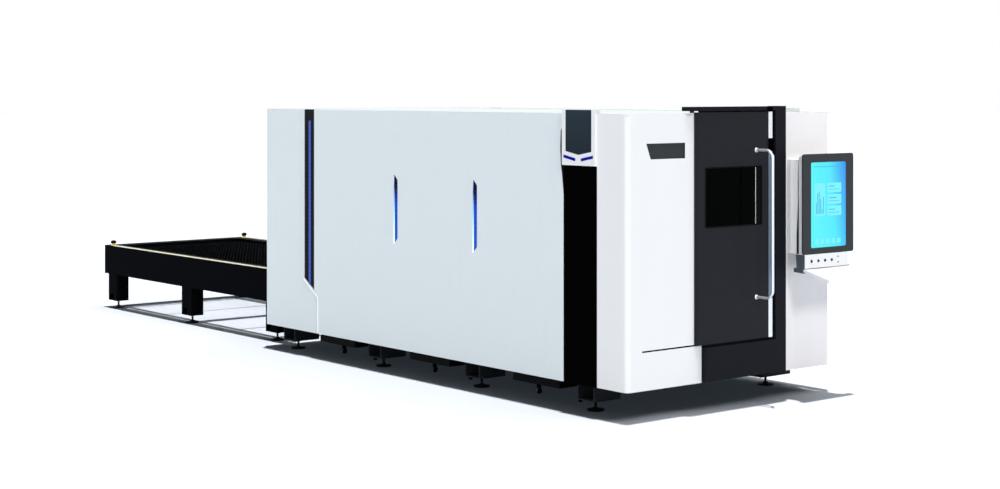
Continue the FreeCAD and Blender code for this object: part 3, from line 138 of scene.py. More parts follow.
def powder_coat(name, code, rough, gloss, wiped, coat=0.0):
    """Polyester powder, sprayed on folded sheet steel and baked.

    To the eye: an even satin skin with faint orange peel, gloss that drifts over half a
    metre, the upright ghosts of wiping cloths, and edges where the powder drew thin.
    """
    paint, tree, place = blank("powder-coated " + name)
    # Orange peel lies 2 mm from crest to crest. It is drawn at 9 mm, or it wouldn't show.
    peel = add(tree, "TexNoise", {"Vector": place, "Scale": cells(9), "Detail": 2.0})
    drift = add(tree, "TexNoise", {"Vector": place, "Scale": cells(500), "Detail": 4.0})
    upright = add(tree, "Mapping", {"Vector": place, "Scale": (1.0, 1.0, 0.12)})
    wipes = add(tree, "TexNoise", {"Vector": upright, "Scale": cells(70), "Detail": 5.0,
                                   "Roughness": 0.6})
    marks = add(tree, "ValToRGB", {"Fac": wipes}, [(0.50, 0.0), (0.85, 1.0)])
    base = add(tree, "Mix", {0: marks, 6: linear(code), 7: toned(code, 1 - wiped)},
               data_type="RGBA")
    sheen = add(tree, "MapRange", {"Value": drift, "From Min": 0.25, "From Max": 0.75,
                                   "To Min": rough * 0.88, "To Max": rough * 1.12})
    # The sheet is folded over a 1.5 mm radius.
    fold = add(tree, "Bevel", {"Radius": 0.0015}, samples=4)
    skin = add(tree, "Bump", {"Strength": 0.06, "Distance": 0.0004, "Height": peel,
                              "Normal": fold})
    shader = add(tree, "BsdfPrincipled", {
        "Base Color": base, "Roughness": sheen, "Specular IOR Level": gloss, "IOR": 1.5,
        "Coat Weight": coat, "Coat Roughness": 0.22, "Normal": skin})
    return paint, shader


def side_shaded_powder():
    """The front's white made darker and bluer as painted shade, so the corner shows."""
    return powder_coat("side steel, white with painted shade", "#DBE4E5", 0.42, 0.4, 0.02)


def front_powder():
    """The warmer, glossier white of the show face."""
    return powder_coat("front steel, warm white", "#E8E9E9", 0.36, 0.5, 0.015)


def right_front_powder():
    return powder_coat("console-side steel, soft white", "#EFECEB", 0.4, 0.4, 0.03)


def tray_powder():
    return powder_coat("tray steel, bright white", "#F6F7F9", 0.34, 0.5, 0.015)


def door_powder():
    """The door's charcoal has a thin clear coat over it, so it shines a little at a slant."""
    return powder_coat("door steel, lacquered charcoal", "#181A1F", 0.42, 0.07, 0.12,
                       coat=0.07)


def frame_powder():
    return powder_coat("door frame, charcoal", "#14161C", 0.45, 0.05, 0.12)


# A brighter copy of the front white, as painted light on a bracket that stands in shade.
def mount_powder_painted_light():
    return powder_coat("bracket steel, white lifted as painted light", "#FAFCFD", 0.4, 0.5, 0.01)


def pillar_powder():
    """So black and matte that its folds are lost."""
    return powder_coat("pillar steel, jet black", "#010101", 0.55, 0.004, 0.1)


def recess_powder():
    return powder_coat("recess steel, dark slate", "#101316", 0.5, 0.05, 0.1)


def inset_powder():
    return powder_coat("inset steel, graphite", "#313436", 0.5, 0.12, 0.1)


def chassis_enamel(name, code, chipped, dusty, gloss=0.12):
    """Chassis enamel, brushed on welded hot-rolled sections.

    To the eye: brush drag and mill scale that ripple the gloss, paler flecks where paint
    has chipped, and workshop dust that lies on whatever faces up.
    """
    paint, tree, place = blank(name)
    # Mill scale is in flakes about 15 mm across. Chips are 3 mm, drawn at 12 mm to show.
    scale = add(tree, "TexNoise", {"Vector": place, "Scale": cells(15), "Detail": 5.0,
                                   "Roughness": 0.6})
    fleck = add(tree, "TexNoise", {"Vector": place, "Scale": cells(12), "Detail": 6.0,
                                   "Roughness": 0.75})
    chips = add(tree, "ValToRGB", {"Fac": fleck}, [(0.66, 0.0), (0.72, 0.6)])
    cover = add(tree, "Mix", {0: chips, 6: linear(code), 7: linear(chipped)}, data_type="RGBA")
    facing = add(tree, "SeparateXYZ", {"Vector": add(tree, "NewGeometry").outputs["Normal"]})
    lying = add(tree, "MapRange", {"Value": facing.outputs["Z"], "From Min": 0.6,
                                   "From Max": 1.0, "To Min": 0.0, "To Max": 0.35})
    patchy = add(tree, "Math", {0: lying, 1: scale}, operation="MULTIPLY")
    base = add(tree, "Mix", {0: patchy, 6: cover, 7: linear(dusty)}, data_type="RGBA")
    sheen = add(tree, "MapRange", {"Value": scale, "To Min": 0.42, "To Max": 0.68})
    edge = add(tree, "Bevel", {"Radius": 0.003}, samples=4)
    skin = add(tree, "Bump", {"Strength": 0.25, "Distance": 0.0008, "Height": scale,
                              "Normal": edge})
    shader = add(tree, "BsdfPrincipled", {
        "Base Color": base, "Roughness": sheen, "Specular IOR Level": gloss, "IOR": 1.5,
        "Normal": skin})
    return paint, shader


def frame_enamel():
    """Nearly as black as the pillars, so the frame and the pallets read as one mass."""
    return chassis_enamel("black chassis enamel on hot-rolled steel", "#05070A", "#0B0D12",
                          "#1A1C20", gloss=0.005)


def tube_enamel():
    """Greyer than the frame's, so the tubes stand out from the shadow below."""
    return chassis_enamel("grey-black chassis enamel on box tube", "#26292C", "#303336",
                          "#38393A", gloss=0.06)


def bed_enamel():
    """The mid grey of cast and welded machine beds, with paler chips."""
    return chassis_enamel("grey machine enamel on welded plate", "#43474B", "#565A5D",
                          "#6B6A66", gloss=0.3)


def cart_enamel():
    """Black with cutting soot, and pale dust on whatever faces up."""
    return chassis_enamel("sooty enamel on folded cart steel", "#060707", "#0E0F10",
                          "#1E1D1B", gloss=0.03)


# Plastic and rubber -----

def moulded(name, code, rough, gloss):
    """ABS, injection moulded in a spark-eroded tool.

    To the eye: an even matte colour, broken only by a fine pebble grain and the soft
    swirls where the melt flowed.
    """
    paint, tree, place = blank(name)
    # The eroded grain is 0.4 mm. It is drawn at 5 mm, or the render would lose it.
    grain = add(tree, "TexNoise", {"Vector": place, "Scale": cells(5), "Detail": 3.0})
    flow = add(tree, "TexNoise", {"Vector": place, "Scale": cells(180), "Detail": 3.0,
                                  "Distortion": 1.5})
    base = add(tree, "Mix", {0: flow, 6: linear(code), 7: toned(code, 1.2, lift=0.001)},
               data_type="RGBA")
    sheen = add(tree, "MapRange", {"Value": flow, "To Min": rough * 0.85, "To Max": rough})
    edge = add(tree, "Bevel", {"Radius": 0.0012}, samples=4)
    skin = add(tree, "Bump", {"Strength": 0.12, "Distance": 0.0004, "Height": grain,
                              "Normal": edge})
    shader = add(tree, "BsdfPrincipled", {
        "Base Color": base, "Roughness": sheen, "Specular IOR Level": gloss, "IOR": 1.53,
        "Normal": skin})
    return paint, shader


def bezel_abs():
    return moulded("moulded ABS, bezel grey", "#2C2E30", 0.5, 0.15)


def support_abs():
    return moulded("moulded ABS, cool mid grey", "#4C525A", 0.5, 0.3)


def button_abs():
    return moulded("moulded ABS, black", "#08080A", 0.4, 0.3)


def dash_acrylic():
    """A saturated blue that hardly shines."""
    return moulded("cast acrylic, deep blue", "#020A8C", 0.35, 0.04)


def pane_acrylic():
    """Black, with the faintest green."""
    return moulded("tinted acrylic, bottle green black", "#020805", 0.2, 0.02)


def tongue_plastic():
    return moulded("moulded port tongue, pale", "#C9CDD2", 0.45, 0.4)


def rubber(name, code):
    """Moulded rubber: deep matte, with a bloom of pale dust in its ribs."""
    paint, tree, place = blank(name)
    bloom = add(tree, "TexNoise", {"Vector": place, "Scale": cells(25), "Detail": 6.0,
                                   "Roughness": 0.7})
    dust = add(tree, "ValToRGB", {"Fac": bloom}, [(0.52, 0.0), (0.85, 0.25)])
    base = add(tree, "Mix", {0: dust, 6: linear(code), 7: linear("#1E1E1E")}, data_type="RGBA")
    skin = add(tree, "Bump", {"Strength": 0.2, "Distance": 0.0006, "Height": bloom})
    shader = add(tree, "BsdfPrincipled", {
        "Base Color": base, "Roughness": 0.72, "Specular IOR Level": 0.06, "IOR": 1.52,
        "Normal": skin})
    return paint, shader


def foot_rubber():
    return rubber("moulded nitrile rubber, black", "#040405")


def slate_film():
    """The caps' field is vinyl film with a leather grain, paler towards its top edge."""
    foot, head = 1.94, 2.28  # the field's ends, in metres up
    paint, tree, place = blank("embossed vinyl film, slate")
    base = up_the_height(tree, place, foot, head, [(0.0, "#1B262D"), (1.0, "#25323B")])
    # The emboss has a 1 mm grain, drawn at 6 mm.
    grain = add(tree, "TexVoronoi", {"Vector": place, "Scale": cells(6)})
    skin = add(tree, "Bump", {"Strength": 0.15, "Distance": 0.0004, "Height": grain})
    shader = add(tree, "BsdfPrincipled", {
        "Base Color": base, "Roughness": 0.5, "Specular IOR Level": 0.05, "IOR": 1.52,
        "Normal": skin})
    return paint, shader


def wear_strip():
    """Cast polyurethane: waxy cream that yellows and scuffs where pallets rub along it."""
    paint, tree, place = blank("cast polyurethane, cream")
    drawn = add(tree, "Mapping", {"Vector": place, "Scale": (1.0, 0.06, 1.0)})
    scuff = add(tree, "TexNoise", {"Vector": drawn, "Scale": cells(8), "Detail": 5.0,
                                   "Roughness": 0.7})
    worn = add(tree, "ValToRGB", {"Fac": scuff}, [(0.42, 0.0), (0.72, 1.0)])
    base = add(tree, "Mix", {0: worn, 6: linear("#FAF7E6"), 7: linear("#EBD98C")},
               data_type="RGBA")
    skin = add(tree, "Bump", {"Strength": 0.2, "Distance": 0.0006, "Height": scuff})
    shader = add(tree, "BsdfPrincipled", {
        "Base Color": base, "Roughness": 0.42, "IOR": 1.5, "Subsurface Weight": 0.1,
        "Subsurface Scale": 0.004, "Normal": skin})
    return paint, shader


def buffer_yellow():
    return moulded("moulded polyurethane, buffer yellow", "#E9C84A", 0.5, 0.4)


# Metal -----

def drawn_metal(name, code, rough, stretch, line, bare=1.0, painted_shade_band=None):
    """Metal with the lines of its last working: brushed, ground or turned.

    To the eye: bright, with fine parallel lines that spread each highlight across them.
    Where a lacquer or a passivated layer dulls it, bare is below 1. Between two heights
    in metres it may take another colour as painted shade.
    """
    paint, tree, place = blank(name)
    along = add(tree, "Mapping", {"Vector": place, "Scale": stretch})
    lines = add(tree, "TexNoise", {"Vector": along, "Scale": cells(line), "Detail": 4.0,
                                   "Roughness": 0.6})
    base = add(tree, "Mix", {0: lines, 6: toned(code, 0.82), 7: linear(code)},
               data_type="RGBA")
    if painted_shade_band:
        # A band of painted shade, in its own colour between two heights.
        low, high, shade_code = painted_shade_band
        height = add(tree, "SeparateXYZ", {"Vector": place}).outputs["Z"]
        between = add(tree, "Math", {0: height, 1: (low + high) / 2, 2: (high - low) / 2},
                      operation="COMPARE")
        base = add(tree, "Mix", {0: between, 6: base, 7: linear(shade_code)}, data_type="RGBA")
    sheen = add(tree, "MapRange", {"Value": lines, "To Min": rough * 0.7,
                                   "To Max": rough * 1.3})
    edge = add(tree, "Bevel", {"Radius": 0.0008}, samples=4)
    skin = add(tree, "Bump", {"Strength": 0.15, "Distance": 0.0003, "Height": lines,
                              "Normal": edge})
    shader = add(tree, "BsdfPrincipled", {"Base Color": base, "Metallic": bare,
                                          "Roughness": sheen, "Normal": skin})
    return paint, shader


# Brush lines are 0.2 mm apart. They are drawn 4 mm apart, or they would average out.
def handle_stainless():
    return drawn_metal("brushed stainless steel", "#EEF3F8", 0.3, (1, 1, 0.03), 4, bare=0.6)


def strip_aluminium():
    """Silver above and below the handle. Along the handle it is painted sea grey, as the
    handle's shade on it.
    """
    # The sea grey from 0.80 to 2.05 m is the handle's painted shade.
    return drawn_metal("extruded aluminium, satin anodised", "#F1F4F6", 0.32, (1, 1, 0.03), 5,
                       bare=0.8, painted_shade_band=(0.80, 2.05, "#6F7F8B"))


def bar_aluminium():
    return drawn_metal("extruded aluminium, brushed", "#F1F4F6", 0.32, (1, 1, 0.03), 5, bare=0.8)


def ground_bearing_steel():
    """A tight, bright shine drawn out along the rail."""
    return drawn_metal("ground bearing steel", "#B9BDC2", 0.22, (1, 0.03, 1), 4)


def chromed_rod():
    """Rings of soft glare round each barrel."""
    return drawn_metal("hard-chromed cylinder steel", "#A9ADB1", 0.25, (1, 1, 6), 6)


def machined_aluminium():
    """A pale satin grey with faint level rings."""
    return drawn_metal("machined aluminium, clear anodised", "#B4B9BF", 0.36, (1, 1, 8), 8)


def turned_copper():
    """Warm and bright, with the tool's rings."""
    return drawn_metal("turned copper alloy", "#CF875A", 0.25, (1, 1, 10), 8)


def blackened_steel():
    """Dark and dull, with an oily shine on the thread's crests."""
    return drawn_metal("black oxide on screw steel", "#1A1B1D", 0.5, (1, 1, 4), 6)


def zinc_plate():
    """Bright zinc has a cool, slightly mottled shine."""
    return drawn_metal("zinc-plated fastener steel", "#DCDDD9", 0.34, (1, 1, 1), 6, bare=0.6)


def sooty_steel():
    """Laser-cut hot-rolled sheet: blue-black scale, soot, and spatter that catches light."""
    paint, tree, place = blank("laser-cut hot-rolled slat steel, sooty")
    soot = add(tree, "TexNoise", {"Vector": place, "Scale": cells(110), "Detail": 6.0,
                                  "Roughness": 0.65})
    # Spatter beads are 1 mm, drawn at 10 mm.
    spatter = add(tree, "TexNoise", {"Vector": place, "Scale": cells(10), "Detail": 4.0,
                                     "Roughness": 0.7})
    scale = add(tree, "ValToRGB", {"Fac": soot}, [
        (0.3, linear("#030405")), (0.62, linear("#090B0D")), (0.8, linear("#15171A"))])
    beads = add(tree, "ValToRGB", {"Fac": spatter}, [(0.6, 0.0), (0.8, 0.45)])
    base = add(tree, "Mix", {0: beads, 6: scale, 7: linear("#22262B")}, data_type="RGBA")
    sheen = add(tree, "MapRange", {"Value": spatter, "To Min": 0.45, "To Max": 0.8})
    skin = add(tree, "Bump", {"Strength": 0.4, "Distance": 0.001, "Height": spatter})
    shader = add(tree, "BsdfPrincipled", {"Base Color": base, "Metallic": 0.1,
                                          "Specular IOR Level": 0.03,
                                          "Roughness": sheen, "Normal": skin})
    return paint, shader


# Glass and light -----

def safety_glass():
    """Laser safety acrylic: so dense that it looks black, with a smooth face."""
    paint, tree, place = blank("laser safety acrylic, near black")
    smear = add(tree, "TexNoise", {"Vector": place, "Scale": cells(160), "Detail": 5.0,
                                   "Roughness": 0.6})
    base = add(tree, "Mix", {0: smear, 6: linear("#000101"), 7: linear("#020403")},
               data_type="RGBA")
    sheen = add(tree, "MapRange", {"Value": smear, "To Min": 0.06, "To Max": 0.18})
    shader = add(tree, "BsdfPrincipled", {"Base Color": base, "Roughness": sheen,
                                          "Specular IOR Level": 0.01, "IOR": 1.49})
    return paint, shader


SLOT_FOOT, SLOT_HEAD = 1.10, 1.72  # the slots' ends, in metres up
LINE_FRONT = 4150        # the blue line lies behind this, in mm


def lamp_cover():
    """Opal acrylic over blue lamps.

    The slots along the side are navy above and bright below. The line in the recessed
    strip is one even blue. Each lamp behind shows as a soft swell every 40 mm.
    """
    paint, tree, place = blank("opal acrylic over blue lamps")
    slot = up_the_height(tree, place, SLOT_FOOT, SLOT_HEAD, [
        (0.0, "#2C63C0"), (0.58, "#2152C0"), (0.72, "#0E2A80"), (0.82, "#020A38")])
    axes = add(tree, "SeparateXYZ", {"Vector": place})
    in_line = add(tree, "Math", {0: axes.outputs["Y"], 1: at(0, LINE_FRONT, 0).y},
                  operation="GREATER_THAN")
    shade = add(tree, "Mix", {0: in_line, 6: slot, 7: linear("#1E419A")}, data_type="RGBA")
    swell = add(tree, "Math", {0: axes.outputs["Z"], 1: cells(40) * 2 * math.pi},
                operation="MULTIPLY")
    pulse = add(tree, "Math", {0: swell}, operation="SINE")
    lift = add(tree, "MapRange", {"Value": pulse, "From Min": -1.0, "To Min": 0.0,
                                  "To Max": 0.03})
    lit = add(tree, "Mix", {0: lift, 6: shade, 7: linear("#CFE2FF")}, data_type="RGBA")
    shader = add(tree, "BsdfPrincipled", {
        "Base Color": lit, "Roughness": 0.35, "IOR": 1.49, "Specular IOR Level": 0.3,
        "Emission Color": lit, "Emission Strength": 0.25})
    return paint, shader


def slot_edge():
    """The slots' polished acrylic edge: it carries the lamps' light, white at its foot."""
    paint, tree, place = blank("polished acrylic edge, lit")
    shade = up_the_height(tree, place, SLOT_FOOT, SLOT_HEAD, [
        (0.0, "#F4FFFF"), (0.35, "#BDEBFF"), (0.65, "#6FA6EC"), (0.82, "#0A1860")])
    grain = add(tree, "TexNoise", {"Vector": place, "Scale": cells(40), "Detail": 2.0})
    sheen = add(tree, "MapRange", {"Value": grain, "To Min": 0.15, "To Max": 0.3})
    shader = add(tree, "BsdfPrincipled", {
        "Base Color": shade, "Roughness": sheen, "IOR": 1.49, "Specular IOR Level": 0.3,
        "Emission Color": shade, "Emission Strength": 0.35})
    return paint, shader


def display_glass():
    """A lit display under glass: cyan at the left, sky blue, then deeper blue at the right."""
    paint, tree, place = blank("lit display under hardened glass")
    low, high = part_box("touch_screen")
    axes = add(tree, "SeparateXYZ", {"Vector": place})
    across = add(tree, "MapRange", {"Value": axes.outputs["X"], "From Min": low.x,
                                    "From Max": high.x})
    down = add(tree, "MapRange", {"Value": axes.outputs["Z"], "From Min": high.z,
                                  "From Max": low.z, "To Max": -0.25})
    lean = add(tree, "Math", {0: across, 1: down}, operation="ADD")
    shade = add(tree, "ValToRGB", {"Fac": lean}, [
        (0.0, linear("#5CF8FF")), (0.5, linear("#52EEFF")), (0.78, linear("#42BDFB")),
        (1.0, linear("#3C8CF0"))])
    # Pixel rows are 0.3 mm apart, drawn at 6 mm as a faint weave.
    rows = add(tree, "Math", {0: axes.outputs["Z"], 1: cells(6)}, operation="MULTIPLY")
    weave = add(tree, "Math", {0: rows, 1: 1.0}, operation="PINGPONG")
    faint = add(tree, "Math", {0: weave, 1: 0.04}, operation="MULTIPLY")
    lit = add(tree, "Mix", {0: faint, 6: shade, 7: linear("#1C7FD8")}, data_type="RGBA")
    shader = add(tree, "BsdfPrincipled", {
        "Base Color": linear("#05080C"), "Roughness": 0.12, "IOR": 1.5,
        "Specular IOR Level": 0.2, "Emission Color": lit, "Emission Strength": 0.97})
    return paint, shader


def sealed_concrete():
    """A pale studio floor with faint clouds, lit a little so that its shadow isn't black."""
    paint, tree, place = blank("sealed studio floor")
    cloud = add(tree, "TexNoise", {"Vector": place, "Scale": cells(900), "Detail": 4.0})
    base = add(tree, "Mix", {0: cloud, 6: (0.198, 0.208, 0.228, 1.0),
                             7: (0.218, 0.228, 0.248, 1.0)}, data_type="RGBA")
    shader = add(tree, "BsdfPrincipled", {
        "Base Color": base, "Roughness": 0.9, "Specular IOR Level": 0.0,
        "Emission Color": (0.75, 0.95, 1.2, 1.0), "Emission Strength": 0.022})
    return paint, shader


def display_mark(name, code):
    """A patch of the display's picture, lit a little apart from what lies behind it."""
    paint, tree, place = blank(name)
    rows = add(tree, "TexNoise", {"Vector": place, "Scale": cells(30), "Detail": 2.0})
    lit = add(tree, "Mix", {0: rows, 6: linear(code), 7: toned(code, 0.93)},
              data_type="RGBA")
    shader = add(tree, "BsdfPrincipled", {
        "Base Color": linear("#05080C"), "Roughness": 0.12, "Specular IOR Level": 0.2,
        "Emission Color": lit, "Emission Strength": 1.0})
    return paint, shader


def pale_mark():
    return display_mark("display mark, pale cyan", "#7DF6FF")


def deep_mark():
    return display_mark("display mark, deep blue", "#36B8E6")


FINISHES = {
    side_shaded_powder: ("side_panel_left", "side_panel_right", "rear_side_panels", "rear_panel",
                  "roof_panels"),
    front_powder: ("front_panel_left", "pillar_caps", "monitor_housing", "button_box"),
    mount_powder_painted_light: ("console_mount",),
    right_front_powder: ("front_panel_right",),
    tray_powder: ("keyboard_tray",),
    pillar_powder: ("pillars", "guide_channel", "door_fittings"),
    recess_powder: ("recess_strips",),
    inset_powder: ("inset_plate",),
    slate_film: ("cap_inlays",),
    dash_acrylic: ("cap_dashes",),
    door_powder: ("sliding_door",),
    frame_powder: ("door_frame", "header_rail"),
    safety_glass: ("door_window",),
    strip_aluminium: ("door_edge_strip",),
    bezel_abs: ("monitor_back", "monitor_bezel"),
    support_abs: ("tray_support",),
    tube_enamel: ("base_tubes",),
    frame_enamel: ("exchange_frame", "lift_carrier", "pallet_frame_upper",
                   "pallet_frame_lower"),
    cart_enamel: ("slag_cart_1", "slag_cart_2", "slag_cart_3"),
    bed_enamel: ("machine_bed", "bed_tracks", "enclosure_frame", "gantry_beam"),
    ground_bearing_steel: ("bed_rails", "gantry_rails"),
    machined_aluminium: ("head_saddle", "head_slide"),
    wear_strip: ("beam_strips",),
    lamp_cover: ("light_bars",),
    display_glass: ("touch_screen",),
}
paints = {}


def paint_of(finish):
    """Each finish is mixed once, given its output, and shared by all that wears it."""
    if finish not in paints:
        paints[finish], shader = finish()
        add(paints[finish].node_tree, "OutputMaterial", {"Surface": shader})
    return paints[finish]


def dress_nodes():
    for finish, names in FINISHES.items():
        for name in names:
            nodes[name].data.materials.clear()
            nodes[name].data.materials.append(paint_of(finish))


# Shaping -----

def join_rings(form, rings, loop=False, capped=False):
    """Faces from each ring of corners to the next. A ring may be one corner alone."""
    steps = max(len(ring) for ring in rings)
    pairs = list(zip(rings, rings[1:])) + ([(rings[-1], rings[0])] if loop else [])
    for low, high in pairs:
        for n in range(steps):
            ring = [low[n % len(low)], low[(n + 1) % len(low)],
                    high[(n + 1) % len(high)], high[n % len(high)]]
            form.faces.new(list(dict.fromkeys(ring)))
    if capped:
        form.faces.new(rings[0])
        form.faces.new(rings[-1])


def spin(form, profile, foot, aim, steps=40, loop=False):
    """Turns (radius, height) places in mm about the line that leaves foot along aim.

    With loop, the last place joins the first.
    """
    stand = Vector(UP).rotation_difference(Vector(aim))
    rings = []
    for radius, height in profile:
        count = steps if radius else 1
        turns = [2 * math.pi * step / steps for step in range(count)]
        rings.append([form.verts.new(at(*foot) + stand @ Vector(
            (radius * math.cos(turn), radius * math.sin(turn), height)) / 1000)
            for turn in turns])
    join_rings(form, rings, loop)


def block(form, low, high, ease=0.0):
    """A block between two corners in mm, its edges eased."""
    corners = bmesh.ops.create_cube(form, size=1.0)["verts"]
    low, high = at(*low), at(*high)
    for corner in corners:
        corner.co = Vector([(a + b) / 2 + c * (b - a)
                            for a, b, c in zip(low, high, corner.co)])
    if ease:
        edges = dict.fromkeys(edge for corner in corners for edge in corner.link_edges)
        bmesh.ops.bevel(form, geom=list(edges), offset=ease / 1000, segments=2, profile=0.5,
                        affect="EDGES")


def plate(form, faces, start, end, place):
    """Flat faces, each a list of (across, up) in mm, thickened from one depth to another."""
    spots = dict.fromkeys(spot for face in faces for spot in face)
    near = {spot: form.verts.new(place(*spot, start)) for spot in spots}
    far = {spot: form.verts.new(place(*spot, end)) for spot in spots}
    edges = dict.fromkeys(edge for face in faces for edge in zip(face, face[1:] + face[:1]))
    for face in faces:
        form.faces.new([near[spot] for spot in face])
        form.faces.new([far[spot] for spot in reversed(face)])
    for one, two in edges:
        if (two, one) not in edges:  # no side between two faces that touch
            form.faces.new([near[one], near[two], far[two], far[one]])


def facing_door(across, up, depth):
    return at(across, depth, up)


def facing_side(across, up, depth):
    return at(depth, across, up)


def rounded(left, right, low, high, radius, steps=5):
    """The outline of a rounded rectangle."""
    spots = []
    for x, z, turn in ((right - radius, high - radius, 0), (left + radius, high - radius, 90),
                       (left + radius, low + radius, 180), (right - radius, low + radius, 270)):
        for step in range(steps + 1):
            angle = math.radians(turn + 90 * step / steps)
            spots.append((x + radius * math.cos(angle), z + radius * math.sin(angle)))
    return spots


def band(outer, inner):
    """The faces between two outlines that have the same number of places."""
    return [[outer[n], outer[n - 1], inner[n - 1], inner[n]] for n in range(len(outer))]


def bent(points, radius, steps=8):
    """A line of straight runs, each corner turned into an arc of the radius, in mm."""
    line = [Vector(points[0])]
    for back, corner, ahead in zip(points, points[1:], points[2:]):
        corner = Vector(corner)
        one, two = (Vector(back) - corner).normalized(), (Vector(ahead) - corner).normalized()
        half = one.angle(two) / 2
        centre = corner + (one + two).normalized() * (radius / math.sin(half))
        start, end = (corner + side * radius / math.tan(half) - centre for side in (one, two))
        line += [centre + radius * start.slerp(end, step / steps) for step in range(steps + 1)]
    return line + [Vector(points[-1])]


def round_bar(form, line, radius, steps=28):
    """A round bar along a line in the plane of Y and Z, its ends closed."""
    across, rings = Vector((1, 0, 0)), []
    for n, spot in enumerate(line):
        way = (line[min(n + 1, len(line) - 1)] - line[max(n - 1, 0)]).normalized()
        over = across.cross(way)
        turns = [2 * math.pi * step / steps for step in range(steps)]
        rings.append([form.verts.new(at(*(
            spot + radius * (across * math.cos(turn) + over * math.sin(turn)))))
            for turn in turns])
    join_rings(form, rings, capped=True)


def settle(name, form, body, slot, finish, *stands_for):
    """Ends a piece: outward faces, creased shading, its finish and its body. Its slot is not
    used.
    """
    bmesh.ops.recalc_face_normals(form, faces=form.faces)
    mesh = bpy.data.meshes.new(name)
    form.to_mesh(mesh)
    form.free()
    mesh.shade_smooth()
    mesh.set_sharp_from_angle(angle=math.radians(32))
    mesh.materials.append(paint_of(finish))
    made = bpy.data.objects.new(name, mesh)
    bpy.context.scene.collection.objects.link(made)
    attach(made, body)
    if stands_for:
        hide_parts(*stands_for)
    return made


# Feet -----

LEG_PITCH = 1674         # from one of the table's legs to the next
FOOT_PLACES = [(x, 490 + TUBE_PITCH * step) for step in range(4) for x in (130, 2014)]
FOOT_PLACES += [(x, 5262 + LEG_PITCH * step) for step in range(3) for x in (274, 1886)]
TUBE_LOW = 84            # the underside of the cross tubes, and of the table's legs
NUT_TALL = 16


def make_feet():
    """Domed rubber pads, threaded studs, and a chamfered nut run up against each tube."""
    pads, studs, nuts = bmesh.new(), bmesh.new(), bmesh.new()
    skirt = [(0, 0), (58, 0), (60, 1.5), (64, 1.5), (67, 4), (67, 12), (65, 14), (40, 15.5),
             (24, 17), (21, 20), (20, 26), (18, 28), (0, 28)]
    # The thread is M22 with a 2.5 mm pitch, drawn at 5 mm so that it shows.
    crest, root, start, pitch, turns = 11, 9.4, 28, 5, 11
    thread = [(0, start - 1)]
    for turn in range(turns):
        thread += [(crest, start + pitch * turn), (root, start + pitch * (turn + 0.5))]
    thread += [(crest, TUBE_LOW), (0, TUBE_LOW)]
    for x, y in FOOT_PLACES:
        spin(pads, skirt, (x, y, 0), UP, 48)
        spin(studs, thread, (x, y, 0), UP, 20)
        hex_nut(nuts, (x, y, TUBE_LOW - NUT_TALL), NUT_TALL)
    settle("foot_pads_domed", pads, "machine", "black_plastic", foot_rubber, "foot_pads")
    settle("foot_studs_threaded", studs, "machine", "zinc_steel", blackened_steel,
           "levelling_screws")
    settle("foot_nuts", nuts, "machine", "zinc_steel", zinc_plate)


def hex_nut(form, foot, tall, flat=18.0, chamfer=2.5):
    """A nut whose six corners are turned down at both ends."""
    sharp = flat / math.cos(math.radians(30))
    rings = []
    for height, corner in ((0, flat), (chamfer, sharp), (tall - chamfer, sharp), (tall, flat)):
        rings.append([form.verts.new(at(*foot) + Vector((
            (corner if n % 2 else flat) * math.cos(math.radians(30 * n)),
            (corner if n % 2 else flat) * math.sin(math.radians(30 * n)), height)) / 1000)
            for n in range(12)])
    join_rings(form, rings, capped=True)


# The sides -----

SLOT_REARS = (2929, 1827)
SIDES = ((0, -1), (WIDTH, 1))  # where each side is, and which way is out
SUNK = 2                 # what is set on a side starts this deep in its sheet


def make_side_joints():
    """A folded bead up the rear side panel's edge, round its dark strip's foot. It wears the
    brighter front white as a painted highlight of the joint's lit edge.
    """
    bead = bmesh.new()
    proud = 8
    # Along, up, and half the width of the run that starts there.
    line = [(4128, 208, 9), (4128, 536, 9), (4372, 694, 5), (4372, 2246, 5)]
    for face, way in SIDES:
        outside, inside = face + proud * way, face - SUNK * way
        for (y0, z0, half), (y1, z1, _) in zip(line, line[1:]):
            run = Vector((y1 - y0, z1 - z0)).normalized() * half
            side = Vector((-run.y, run.x))
            base = [(y0 - side.x, z0 - side.y), (y1 - side.x, z1 - side.y),
                    (y1 + side.x, z1 + side.y), (y0 + side.x, z0 + side.y)]
            crown = [(y0, z0), (y1, z1)]
            low = [bead.verts.new(at(inside, *spot)) for spot in base]
            top = [bead.verts.new(at(outside, *spot)) for spot in crown]
            for ring in ([low[0], low[1], top[1], top[0]], [low[2], low[3], top[0], top[1]],
                         [low[1], low[2], top[1]], [low[3], low[0], top[0]],
                         [low[3], low[2], low[1], low[0]]):
                bead.faces.new(ring)
    settle("side_joint_bead", bead, "machine", "front_white", front_powder)


def make_pillar_shadows_and_slot_edges():
    """A black sheet that swells from behind each pillar's cap as a painted shadow, and the
    slots' lit edges.
    """
    seal, edge = bmesh.new(), bmesh.new()
    proud = 1.2
    # The swell's outline is the soft shadow on the side panel beside the cap, painted in black.
    swell = [(709, 1640), (728, 1800), (741, 1861), (748, 2000), (742, 2120), (709, 2180)]
    for face, way in SIDES:
        outside, inside = face + proud * way, face - SUNK * way
        plate(seal, [swell], inside, outside, facing_side)
        for rear in SLOT_REARS:
            lit = [(rear - 5, 1122), (rear + 11, 1104), (rear + 5, 1600), (rear - 1, 1702),
                   (rear - 5, 1690)]
            plate(edge, [lit], inside, outside, facing_side)
    settle("pillar_seal", seal, "machine", "black_plastic", foot_rubber)
    settle("slot_edges", edge, "machine", "light_blue", slot_edge)


SCREW_HEAD = [(0, 1.0), (2.6, 1.0), (2.8, 3.2), (4.6, 3.4), (6.6, 2.4), (7.4, 0.6), (7.4, -1),
              (0, -1)]


